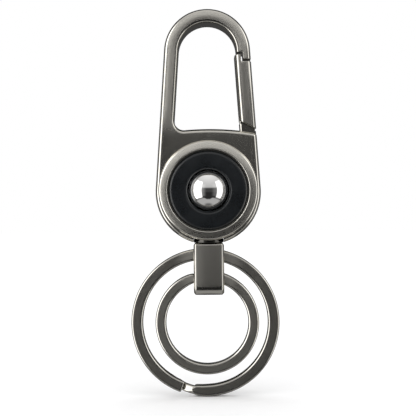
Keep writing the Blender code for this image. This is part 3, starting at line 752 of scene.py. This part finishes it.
def make_ball():
    quarter = math.pi / 2
    half_circle = arc(upright(0, 0), BALL_RADIUS, quarter, -quarter, 96)
    profile = [(max(point.x, 0), point.z) for point in half_circle]
    centre = BOSS + FACING * BALL_HEIGHT
    ball = turned("steel_ball_shape", profile, centre, FACING, 192, closed=False)
    return smooth(ball, 60)


def make_collar():
    profile = [
        (SHANK_BORE, COLLAR_TOP),
        (COLLAR_RADIUS, COLLAR_TOP),
        (COLLAR_RADIUS, COLLAR_BOTTOM),
        (SHANK_BORE, COLLAR_BOTTOM),
    ]
    collar = turned("swivel_collar_shape", profile, Vector((0, 0, 0)), UPWARD, 160)
    round_off(collar, 0.00018, 4)
    return smooth(collar)


# ---------------------------------------------------------------- link
LINK_HALF_WIDTH = 0.003675
LINK_HALF_DEPTH = 0.00328
LINK_TOP = -0.05305
LINK_BOTTOM = -0.06561
LINK_CROWN = 0.00036
LINK_STRIPS = 24
LINK_TOP_CORNER = 0.0006
TOE_RADIUS = 0.0040
TOE_SWEEP = math.radians(40)
TOE_EDGE = 0.0005
SLOT_HALF_DEPTH = 0.00213
SLOT_CORNER = 0.0005
SLOTS = ((-0.05613, 0.00213), (-0.061584, 0.00205))


def side_arc(centre, radius, start, end, steps):
    """Points on an arc seen from the side, from the start angle to the end angle."""
    return arc(centre, radius, start, end, steps, BACKWARD)


def rounded_outline(low, high, radius, steps):
    """A rectangle in depth and height with four equal rounded corners."""
    quarter = math.pi / 2
    spots = [(low[0], low[1]), (high[0], low[1]), (high[0], high[1]), (low[0], high[1])]
    points = []
    for k, (y, z) in enumerate(spots):
        inward_y = radius if y == low[0] else -radius
        inward_z = radius if z == low[1] else -radius
        centre = Vector((0, y + inward_y, z + inward_z))
        start = math.pi + k * quarter
        points += side_arc(centre, radius, start, start + quarter, steps)
    return points


def link_outline():
    """The link from the side: a long toe at the foot of both faces, small corners at the top."""
    toe_centre = Vector((0, LINK_HALF_DEPTH - TOE_RADIUS, 0))
    sweep_end = Vector((0, math.cos(TOE_SWEEP), -math.sin(TOE_SWEEP)))
    edge_centre = toe_centre + (TOE_RADIUS - TOE_EDGE) * sweep_end
    lift = LINK_BOTTOM + TOE_EDGE - edge_centre.z
    raised = Vector((0, 0, lift))
    right = side_arc(edge_centre + raised, TOE_EDGE, -math.pi / 2, -TOE_SWEEP, 8)
    right += side_arc(toe_centre + raised, TOE_RADIUS, -TOE_SWEEP, 0, 14)[1:]
    top_centre = Vector((0, LINK_HALF_DEPTH - LINK_TOP_CORNER, LINK_TOP - LINK_TOP_CORNER))
    right += side_arc(top_centre, LINK_TOP_CORNER, 0, math.pi / 2, 10)
    return right + [Vector((0, -point.y, point.z)) for point in reversed(right)]


def make_link():
    profile = edge_profile((0.00036, 90, 50, 6), (0.0018, 50, 30, 6))
    wall = 2 * (LINK_HALF_WIDTH - sum(out for inset, out in profile))
    link = drawn_block("ring_link_shape", link_outline(), Vector((wall, 0, 0)))
    for side in (-1, 1):
        roll_edges(link, RIGHTWARD * side, profile)
    for k in range(1, LINK_STRIPS):
        place = RIGHTWARD * (wall * (k / LINK_STRIPS - 0.5))
        pick(link, "FACE", lambda face: abs(face.normal.x) < 0.01)
        bpy.ops.mesh.bisect(plane_co=place, plane_no=RIGHTWARD)
    rest_hands()
    for point in link.data.vertices:
        reach = min(abs(point.co.x) / LINK_HALF_WIDTH, 1)
        height = abs(point.co.y) / LINK_HALF_DEPTH
        point.co.y -= math.copysign(LINK_CROWN * reach * reach * height, point.co.y)
    for axis_z, reach in SLOTS:
        low = (-SLOT_HALF_DEPTH, axis_z - reach)
        high = (SLOT_HALF_DEPTH, axis_z + reach)
        outline = rounded_outline(low, high, SLOT_CORNER, 6)
        combine(link, drawn_block("slot", outline, RIGHTWARD * CUT_DEPTH))
    bore_top = upright(0, LINK_TOP + 0.001)
    combine(link, rod("rivet_bore", SHANK_BORE, bore_top, upright(0, LINK_TOP - 0.0015)))
    return smooth(link, 25)


# ---------------------------------------------------------------- split rings
STRIP_THICKNESS = 0.00125
STRIP_PROFILE = edge_profile((0.0006, 90, 45, 4), (0.0006, 45, 8, 5))
FLAT_STRIPS = 6
CORNER_SIDES = 8
TURN_GAP = 0.0001
RAMP_LENGTH = 0.0026
END_GAP = 0.0001
RAMP_EASE = 0.2
RAMP_KNEE = 0.86
RAMP_SLOPE = 0.95
END_BEVEL = 0.00028
NECK_SHARE = 0.74
SHOULDER_SHARE = 0.90
NECK_REACH = 0.0012
TAPER_REACH = 0.0036
TIP_ROUNDING = 0.0018
TIP_REACH = 0.65


def strip_section(centre, outward, face):
    """The strip's section: a flat face with both edges rolled over."""
    points = []
    for side_out, side_front in ((1, 1), (-1, 1), (-1, -1), (1, -1)):
        wide = face / 2
        deep = STRIP_THICKNESS / 2 - sum(out for inset, out in STRIP_PROFILE)
        corner = []
        for inset, out in [(0, 0), *STRIP_PROFILE]:
            wide -= inset
            deep += out
            corner.append(centre + outward * (side_out * wide) + FACING * (side_front * deep))
        if side_out != side_front:
            corner.reverse()
            last = points[-1]
            points += [last.lerp(corner[0], k / FLAT_STRIPS) for k in range(1, FLAT_STRIPS)]
        points += corner
    return points


def ramp_drop(share):
    """How far the ramp has come down: an eased start, a gentle run, then a steep end."""
    gentle = min(share, RAMP_KNEE)
    start = gentle * gentle / (2 * RAMP_EASE) if gentle < RAMP_EASE else gentle - RAMP_EASE / 2
    drop = RAMP_SLOPE * start
    return drop + (1 - drop) * max(share - RAMP_KNEE, 0) / (1 - RAMP_KNEE)


def strip_width(past_ramp):
    """The strip's width as a share of its full width, at this distance beyond the ramp."""
    neck = ease(past_ramp / NECK_REACH) * (SHOULDER_SHARE - NECK_SHARE)
    shoulder = ease((past_ramp - NECK_REACH / 2) / TAPER_REACH) * (1 - SHOULDER_SHARE)
    return NECK_SHARE + neck + shoulder


def make_split_ring(name, face, joint_degrees, turn_steps):
    """Two turns of flat strip spun from one section, with a narrow ramp between them."""
    low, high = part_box(name)
    radius = (high.x - low.x) / 2
    centre = upright((low.x + high.x) / 2, (low.z + high.z) / 2)
    middle = radius - face / 2
    layer = (STRIP_THICKNESS + TURN_GAP) / 2
    joint = math.radians(joint_degrees)
    outward = upright(math.cos(joint), math.sin(joint))
    section = strip_section(centre + outward * middle + FACING * layer, outward, face)
    ring = drawn_line(name + "_shape", section)
    bpy.ops.mesh.select_all(action="SELECT")
    bpy.ops.mesh.edge_face_add()
    ramp = RAMP_LENGTH / middle
    gap = END_GAP / middle
    taper = (TAPER_REACH + NECK_REACH) / middle
    ramp_start = 2 * math.pi - ramp - gap
    ramp_end = ramp_start + ramp
    total = ramp_end + ramp_start - gap
    zones = [
        (ramp_start - taper, turn_steps),
        (taper, 40),
        (ramp, 24),
        (taper, 24),
        (total - ramp_end - taper, turn_steps),
    ]
    turns = [0.0]
    for angle, steps in zones:
        bpy.ops.mesh.spin(steps=steps, angle=angle, center=centre, axis=FACING)
        start = turns[-1]
        turns += [start + angle * (k + 1) / steps for k in range(steps)]
    rest_hands()
    for point in ring.data.vertices:
        turn = turns[point.index // len(section)]
        away = Vector((point.co.x, 0, point.co.z)) - centre
        across = (away.length - middle) / (face / 2)
        late = TIP_ROUNDING * min(abs(across), TIP_REACH) ** 2 / middle
        share = min(max((turn + late - ramp_start) / (ramp + late), 0), 1)
        point.co.y += 2 * layer * ramp_drop(share)
        past = ramp_start - turn
        if past <= 0:
            past = min(turn - ramp_end, total + 2 * gap - turn)
        wide = middle + across * face / 2 * strip_width(past * middle)
        place = centre + away.normalized() * wide
        point.co.x = place.x
        point.co.z = place.z
    pick(ring, "EDGE", lambda edge: not edge.is_manifold)
    bpy.ops.mesh.edge_face_add()
    tidy_mesh(ring)

    def on_end(edge):
        return any(len(face.verts) > CORNER_SIDES for face in edge.link_faces)

    bevel_cut(ring, on_end, END_BEVEL)
    return smooth(ring, 35)


def make_large_ring():
    return make_split_ring("large_ring", face=0.0028, joint_degrees=250, turn_steps=150)


def make_small_ring():
    return make_split_ring("small_ring", face=0.0026, joint_degrees=90, turn_steps=120)


# ---------------------------------------------------------------- nodes
def put(tree, kind, wires=None, **settings):
    """Adds a node, sets its fields and fills or wires its inputs."""
    made = tree.nodes.new(kind)
    for name, value in settings.items():
        setattr(made, name, value)
    for key, value in (wires or {}).items():
        if isinstance(value, bpy.types.NodeSocket):
            tree.links.new(value, made.inputs[key])
        else:
            made.inputs[key].default_value = value
    return made


def maths(tree, operation, first, second=0.0):
    return put(tree, "ShaderNodeMath", {0: first, 1: second}, operation=operation).outputs[0]


def ranged(tree, value, low, high, at_low, at_high, way="LINEAR"):
    """A value from low to high, turned into one from at_low to at_high."""
    wires = {"Value": value, "From Min": low, "From Max": high}
    wires.update({"To Min": at_low, "To Max": at_high})
    made = put(tree, "ShaderNodeMapRange", wires, interpolation_type=way)
    return made.outputs["Result"]


def eased(tree, value, low, high, at_low=0.0, at_high=1.0):
    """A soft step of a value from one level to another."""
    return ranged(tree, value, low, high, at_low, at_high, "SMOOTHSTEP")


def eased_angle(tree, angle, low, high, at_low=0.0, at_high=1.0):
    """A soft step of an angle between two directions in degrees."""
    return eased(tree, angle, math.radians(low), math.radians(high), at_low, at_high)


def noise(tree, place, scale, detail=2.0, **inputs):
    wires = {"Vector": place, "Scale": scale, "Detail": detail, **inputs}
    return put(tree, "ShaderNodeTexNoise", wires).outputs[0]


def split_axes(tree, vector):
    return put(tree, "ShaderNodeSeparateXYZ", {0: vector}).outputs


def joined_axes(tree, x, y, z):
    return put(tree, "ShaderNodeCombineXYZ", {0: x, 1: y, 2: z}).outputs[0]


def bumped(tree, height, strength, shader):
    """Wires a fine relief into the shader's normal."""
    wires = {"Height": height, "Strength": strength, "Distance": 0.00001}
    tree.links.new(put(tree, "ShaderNodeBump", wires).outputs[0], shader.inputs["Normal"])


def mixed_value(tree, share, first, second):
    made = put(tree, "ShaderNodeMix", {0: share, 2: first, 3: second}, data_type="FLOAT")
    return made.outputs[0]


def mixed_colour(tree, share, first, second):
    made = put(tree, "ShaderNodeMix", {0: share, 6: first, 7: second}, data_type="RGBA")
    return made.outputs[2]


def new_group(name, inputs, outputs):
    """An empty node group with named float, vector or colour sockets."""
    kinds = {"value": "NodeSocketFloat", "vector": "NodeSocketVector", "colour": "NodeSocketColor"}
    tree = bpy.data.node_groups.new(name, "ShaderNodeTree")
    for label, kind, start in inputs:
        socket = tree.interface.new_socket(label, in_out="INPUT", socket_type=kinds[kind])
        if start is not None:
            socket.default_value = start
    for label, kind in outputs:
        tree.interface.new_socket(label, in_out="OUTPUT", socket_type=kinds[kind])
    source = tree.nodes.new("NodeGroupInput")
    result = tree.nodes.new("NodeGroupOutput")
    return tree, source.outputs, result.inputs


def straight_grain():
    """Brush lines along one direction: fine across, long along."""
    tree, given, result = new_group(
        "straight_grain",
        [("Place", "vector", None), ("Across", "value", 5000.0), ("Along", "value", 160.0)],
        [("Streaks", "value"), ("Height", "value")],
    )
    x, y, z = split_axes(tree, given["Place"])
    across_x = maths(tree, "MULTIPLY", x, given["Across"])
    across_y = maths(tree, "MULTIPLY", y, given["Across"])
    along = maths(tree, "MULTIPLY", z, given["Along"])
    place = joined_axes(tree, across_x, across_y, along)
    shrink = {0: place, 1: (0.24, 0.24, 0.5)}
    broad_place = put(tree, "ShaderNodeVectorMath", shrink, operation="MULTIPLY").outputs[0]
    fine = noise(tree, place, 1.0, 3.0)
    broad = noise(tree, broad_place, 1.0)
    both = mixed_value(tree, 0.35, fine, broad)
    tree.links.new(ranged(tree, both, 0.3, 0.7, 0.0, 1.0), result["Streaks"])
    tree.links.new(both, result["Height"])
    return tree


def round_grain():
    """Brush lines that run round an axis which lies along the depth of the place given."""
    tree, given, result = new_group(
        "round_grain",
        [("Place", "vector", None), ("Across", "value", 5000.0), ("Along", "value", 6.0)],
        [("Streaks", "value"), ("Height", "value")],
    )
    x, y, z = split_axes(tree, given["Place"])
    flat = joined_axes(tree, x, 0.0, z)
    length = put(tree, "ShaderNodeVectorMath", {0: flat}, operation="LENGTH").outputs["Value"]
    turn = put(tree, "ShaderNodeVectorMath", {0: flat}, operation="NORMALIZE").outputs[0]
    turn_x, turn_y, turn_z = split_axes(tree, turn)
    radial = maths(tree, "MULTIPLY", length, given["Across"])
    depth = maths(tree, "MULTIPLY", y, given["Across"])
    first = maths(tree, "MULTIPLY", turn_x, given["Along"])
    second = maths(tree, "MULTIPLY", turn_z, given["Along"])
    place = joined_axes(tree, radial, first, second)
    wires = {"Vector": place, "W": depth, "Scale": 1.0, "Detail": 3.0}
    fine = put(tree, "ShaderNodeTexNoise", wires, noise_dimensions="4D").outputs[0]
    tree.links.new(ranged(tree, fine, 0.3, 0.7, 0.0, 1.0), result["Streaks"])
    tree.links.new(fine, result["Height"])
    return tree


def rolled_edge():
    """Where a rim rolls away from the flat face: 0 on the face, 1 on the polished rim."""
    tree, given, result = new_group(
        "rolled_edge",
        [("Facing", "value", 1.0), ("Face Above", "value", 0.985), ("Rim Below", "value", 0.972)],
        [("Rim", "value")],
    )
    tilt = maths(tree, "ABSOLUTE", given["Facing"])
    tree.links.new(eased(tree, tilt, given["Face Above"], given["Rim Below"]), result["Rim"])
    return tree


def handling():
    """Soft marks of handling: faint cloudy patches."""
    tree, given, result = new_group(
        "handling",
        [("Place", "vector", None), ("Patch Size", "value", 260.0)],
        [("Patches", "value")],
    )
    patches = noise(tree, given["Place"], given["Patch Size"], 3.0, Roughness=0.55)
    tree.links.new(ranged(tree, patches, 0.3, 0.7, 0.0, 1.0), result["Patches"])
    return tree


STRAIGHT_GRAIN = straight_grain()
ROUND_GRAIN = round_grain()
ROLLED_EDGE = rolled_edge()
HANDLING = handling()


def use(tree, group, wires):
    """Places a node group in a material."""
    return put(tree, "ShaderNodeGroup", wires, node_tree=group).outputs


def new_material(name):
    """A new material, with its tree, its shader and the object's own coordinates."""
    paint = bpy.data.materials.new(name)
    paint.use_nodes = True
    tree = paint.node_tree
    place = tree.nodes.new("ShaderNodeTexCoord").outputs
    return paint, tree, tree.nodes["Principled BSDF"], place


def brushed_metal(
    name,
    colours,
    face_rough,
    rim_rough=0.12,
    grain=STRAIGHT_GRAIN,
    scales=(2600, 110),
    bump=0.02,
    centre=None,
    rim=(0.983, 0.972),
    bars=None,
    worn=None,
):
    """A ground metal: satin and brushed on its faces, smoother on its rims, faintly handled."""
    paint, tree, shader, place = new_material(name)
    spot = place["Object"]
    if centre is not None:
        moved = {"Vector": spot, "Location": -centre}
        spot = put(tree, "ShaderNodeMapping", moved).outputs[0]
    lines = use(tree, grain, {"Place": spot, "Across": scales[0], "Along": scales[1]})
    marks = use(tree, HANDLING, {"Place": place["Object"]})
    facing = split_axes(tree, place["Normal"])[1]
    tilts = {"Facing": facing, "Face Above": rim[0], "Rim Below": rim[1]}
    rims = use(tree, ROLLED_EDGE, tilts)["Rim"]
    face = ranged(tree, lines["Streaks"], 0, 1, face_rough - 0.02, face_rough + 0.02)
    if bars is not None:
        x, depth, level = split_axes(tree, place["Object"])
        away = maths(tree, "ABSOLUTE", depth)
        sunk = eased(tree, away, FRONT - 0.0001, FRONT - 0.0004)
        rims = maths(tree, "MAXIMUM", rims, sunk)
        ground = ranged(tree, lines["Streaks"], 0, 1, bars - 0.025, bars + 0.025)
        face = mixed_value(tree, eased(tree, level, SATIN_BOTTOM, SATIN_TOP), face, ground)
    if worn is not None:
        wires = {0: place["Object"], 1: worn}
        away = put(tree, "ShaderNodeVectorMath", wires, operation="DISTANCE").outputs["Value"]
        scuffed = ranged(tree, lines["Streaks"], 0, 1, 0.46, 0.54)
        face = mixed_value(tree, eased(tree, away, WEAR_END, WEAR_START), face, scuffed)
    tone = mixed_value(tree, 0.5, lines["Streaks"], marks["Patches"])
    tree.links.new(mixed_colour(tree, tone, *colours), shader.inputs["Base Color"])
    shader.inputs["Metallic"].default_value = 1.0
    edge = ranged(tree, marks["Patches"], 0, 1, rim_rough - 0.02, rim_rough + 0.02)
    tree.links.new(mixed_value(tree, rims, face, edge), shader.inputs["Roughness"])
    bumped(tree, mixed_value(tree, rims, lines["Height"], 0.5), bump, shader)
    return paint


def greys(dark, light, red=1.035, blue=0.915):
    """A metal's darker and lighter tint: greys a little warmer than neutral."""
    return [(level * red, level, level * blue, 1) for level in (dark, light)]


def black_plastic(name, colour, rough, bump, shine=0.5):
    """A dark moulded or anodised face with a fine even tooth."""
    paint, tree, shader, place = new_material(name)
    tooth = noise(tree, place["Object"], 9000.0)
    patches = use(tree, HANDLING, {"Place": place["Object"], "Patch Size": 180.0})["Patches"]
    low, high = [(*(value * share for value in colour), 1) for share in (0.8, 1.25)]
    tree.links.new(mixed_colour(tree, patches, low, high), shader.inputs["Base Color"])
    uneven = mixed_value(tree, 0.5, tooth, patches)
    mottled = ranged(tree, uneven, 0.2, 0.8, rough - 0.05, rough + 0.06)
    tree.links.new(mottled, shader.inputs["Roughness"])
    shader.inputs["Specular IOR Level"].default_value = shine
    bumped(tree, tooth, bump, shader)
    return paint


# ---------------------------------------------------------------- materials
RING_CENTRE = upright(-0.0007, -0.0724)
RUBBED = upright(0, -0.0585)
WEAR_START = 0.0042
WEAR_END = 0.0092
RING_LOOKS = {
    "grain": ROUND_GRAIN,
    "scales": (3000, 4),
    "centre": RING_CENTRE,
    "rim": (0.9995, 0.990),
    "worn": RUBBED,
}
BEZEL_LOOKS = {
    "grain": ROUND_GRAIN,
    "scales": (2600, 4),
    "bump": 0.03,
    "centre": BOSS,
    "rim": (0.95, 0.92),
}
BALL_LOOKS = {"grain": ROUND_GRAIN, "scales": (7000, 7), "bump": 0.01, "centre": BOSS}
BLACK_LOOKS = {"grain": ROUND_GRAIN, "scales": (5000, 5), "bump": 0.1}
SPRING_LOOKS = {"scales": (8000, 2000), "bump": 0.1}
SILVER = greys(0.88, 0.92, 1.01, 0.985)
INK = (0.0028, 0.0044, 0.0060)
SOOT = (0.02, 0.02, 0.02)
PAINTS = {
    "gunmetal_cast": brushed_metal("satin_gunmetal", greys(0.62, 0.69), 0.19, bars=0.38),
    "gate_metal": brushed_metal("brushed_gate_metal", greys(0.55, 0.61), 0.31),
    "bezel_metal": brushed_metal("turned_bezel_metal", greys(0.68, 0.76), 0.28, **BEZEL_LOOKS),
    "link_metal": brushed_metal("polished_link_metal", greys(0.50, 0.54), 0.32),
    "ring_steel": brushed_metal("ring_steel", greys(0.47, 0.53), 0.31, **RING_LOOKS),
    "small_ring_steel": brushed_metal(
        "small_ring_steel", greys(0.54, 0.60), 0.34, 0.14, **RING_LOOKS
    ),
    "mirror_steel": brushed_metal("mirror_steel", SILVER, 0.04, 0.03, **BALL_LOOKS),
    # near-black tint: painted shade for the swivel collar deep in the notch under the boss; the
    # hidden pins share it
    "blackened_steel": brushed_metal(
        "blackened_steel", greys(0.05, 0.09), 0.24, 0.14, **BLACK_LOOKS
    ),
    "spring_steel": brushed_metal("spring_steel", greys(0.5, 0.6), 0.22, 0.2, **SPRING_LOOKS),
    "black_inlay": black_plastic("black_inlay", INK, 0.28, 0.12, 0.75),
    "black_nylon": black_plastic("black_nylon", SOOT, 0.5, 0.3),
}


# ---------------------------------------------------------------- studio
CAMERA_PLACE = (-0.0001, -0.2252, -0.0446)
CAMERA_ROLL = math.radians(0.5)
LENS = 79.94
SENSOR = 36
NEAREST = 0.01
PANEL_SOFTNESS = 5
PANEL_HEIGHTS = (-36, 43)
FLOOR_GAP = 0.00005


def make_camera():
    turn = (math.pi / 2, CAMERA_ROLL, 0)
    bpy.ops.object.camera_add(location=CAMERA_PLACE, rotation=turn)
    camera = bpy.context.object
    camera.name = "camera"
    camera.data.lens = LENS
    camera.data.sensor_width = SENSOR
    camera.data.clip_start = NEAREST
    bpy.context.scene.camera = camera


def between(tree, angle, low, high):
    """A mask that is 1 between two angles in degrees and fades out softly past both."""
    soft = PANEL_SOFTNESS
    rise = eased_angle(tree, angle, low - soft, low + soft)
    fall = eased_angle(tree, angle, high + soft, high - soft)
    return maths(tree, "MULTIPLY", rise, fall)


def make_studio():
    """The room that the metal mirrors: bright side panels, a pale ceiling and floor, and a dark
    front. Turns run to the right of the viewer and heights upwards, both in degrees."""
    world = bpy.data.worlds.new("studio")
    bpy.context.scene.world = world
    world.use_nodes = True
    world.cycles.sampling_method = "NONE"
    tree = world.node_tree
    backdrop = tree.nodes["Background"]
    direction = tree.nodes.new("ShaderNodeTexCoord").outputs["Generated"]
    x, y, z = split_axes(tree, direction)
    turn = maths(tree, "ARCTAN2", x, maths(tree, "MULTIPLY", y, -1.0))
    height = maths(tree, "ARCSINE", z)

    room = eased_angle(tree, height, -14, -6, 0.024, 0.054)
    ceiling = eased_angle(tree, height, 8, 19, 0.0, 0.47)
    above = ranged(tree, height, math.radians(19), math.radians(80), 0.0, 0.32)
    sideways = maths(tree, "ABSOLUTE", turn)
    lowered = maths(
        tree, "ADD", height, eased_angle(tree, sideways, 32, 10, 0.0, math.radians(9))
    )
    ground = eased_angle(tree, lowered, -37, -46, 0.0, 0.40)
    under = eased_angle(tree, height, -68, -84, 0.0, -0.28)
    for part in (ceiling, above, ground, under):
        room = maths(tree, "ADD", room, part)
    level = eased_angle(tree, maths(tree, "ABSOLUTE", height), 38, 24)
    for start, end, strength in ((-8, -44, 0.30), (15, 42, 0.12)):
        glow = eased_angle(tree, turn, start, end, 0.0, strength)
        room = maths(tree, "ADD", room, maths(tree, "MULTIPLY", glow, level))
    sidelong = eased(tree, maths(tree, "ABSOLUTE", z), 0.35, 0.75, 0.20, 0.03)
    room = mixed_value(tree, eased(tree, y, 0.0, 0.3), room, sidelong)
    room = mixed_value(tree, eased(tree, y, 0.5, 0.85), room, 0.06)
    high = between(tree, height, *PANEL_HEIGHTS)
    for start, end, strength in ((-88, -40, 2.1), (51, 88, 1.35)):
        panel = maths(tree, "MULTIPLY", between(tree, turn, start, end), high)
        room = maths(tree, "ADD", room, maths(tree, "MULTIPLY", panel, strength))

    path = tree.nodes.new("ShaderNodeLightPath").outputs
    diffuse = mixed_value(tree, path["Is Diffuse Ray"], room, 1.25)
    white = mixed_value(tree, path["Is Camera Ray"], diffuse, 1.0)
    tree.links.new(white, backdrop.inputs["Strength"])
    backdrop.inputs["Color"].default_value = (1, 1, 1, 1)


def make_floor():
    """A pale floor that the large ring just touches."""
    rest_hands()
    bpy.ops.mesh.primitive_plane_add(size=3, location=(0, 0, CAD_BOX[0][2] - FLOOR_GAP))
    floor = added("floor")
    pick(floor, "FACE", every)
    bpy.ops.mesh.subdivide(number_cuts=3)
    rest_hands()
    paint, tree, shader, place = new_material("pale_floor")
    speck = noise(tree, place["Object"], 40.0)
    pale = mixed_colour(tree, speck, (0.86, 0.86, 0.865, 1), (0.88, 0.88, 0.88, 1))
    tree.links.new(pale, shader.inputs["Base Color"])
    shader.inputs["Roughness"].default_value = 1.0
    shader.inputs["Specular IOR Level"].default_value = 0.0
    floor.data.materials.append(paint)
    floor.visible_glossy = False


rest_hands()
make_camera()
make_studio()
make_floor()
bpy.context.scene.view_settings.view_transform = "Standard"

PIECES = [
    (make_body, "hook", "hook_body", "gunmetal_cast"),
    (make_gate, "gate", "gate", "gate_metal"),
    (make_bezel, "hook", "bezel_ring", "bezel_metal"),
    (make_inlay, "hook", "inlay_disc", "black_inlay"),
    (make_ball, "ball", "steel_ball", "mirror_steel"),
    # the collar's near-black steel is painted shade for the dark notch it sits in
    (make_collar, "link", "swivel_collar", "blackened_steel"),
    (make_link, "link", "ring_link", "link_metal"),
    (make_large_ring, "large_ring", "large_ring", "ring_steel"),
    (make_small_ring, "small_ring", "small_ring", "ring_steel"),
]
OWN_PAINTS = {"small_ring": "small_ring_steel"}
for make, body_name, node_name, slot_name in PIECES:
    piece = make()
    piece.data.materials.clear()
    piece.data.materials.append(PAINTS[OWN_PAINTS.get(node_name, slot_name)])
    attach(piece, body_name)
    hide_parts(node_name)

KEPT = {
    "gate_pin": "blackened_steel",
    "gate_spring": "spring_steel",
    "ball_cup": "black_nylon",
    "swivel_pin": "blackened_steel",
}
for node_name, slot_name in KEPT.items():
    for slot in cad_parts[node_name].material_slots:
        slot.material = PAINTS[slot_name]
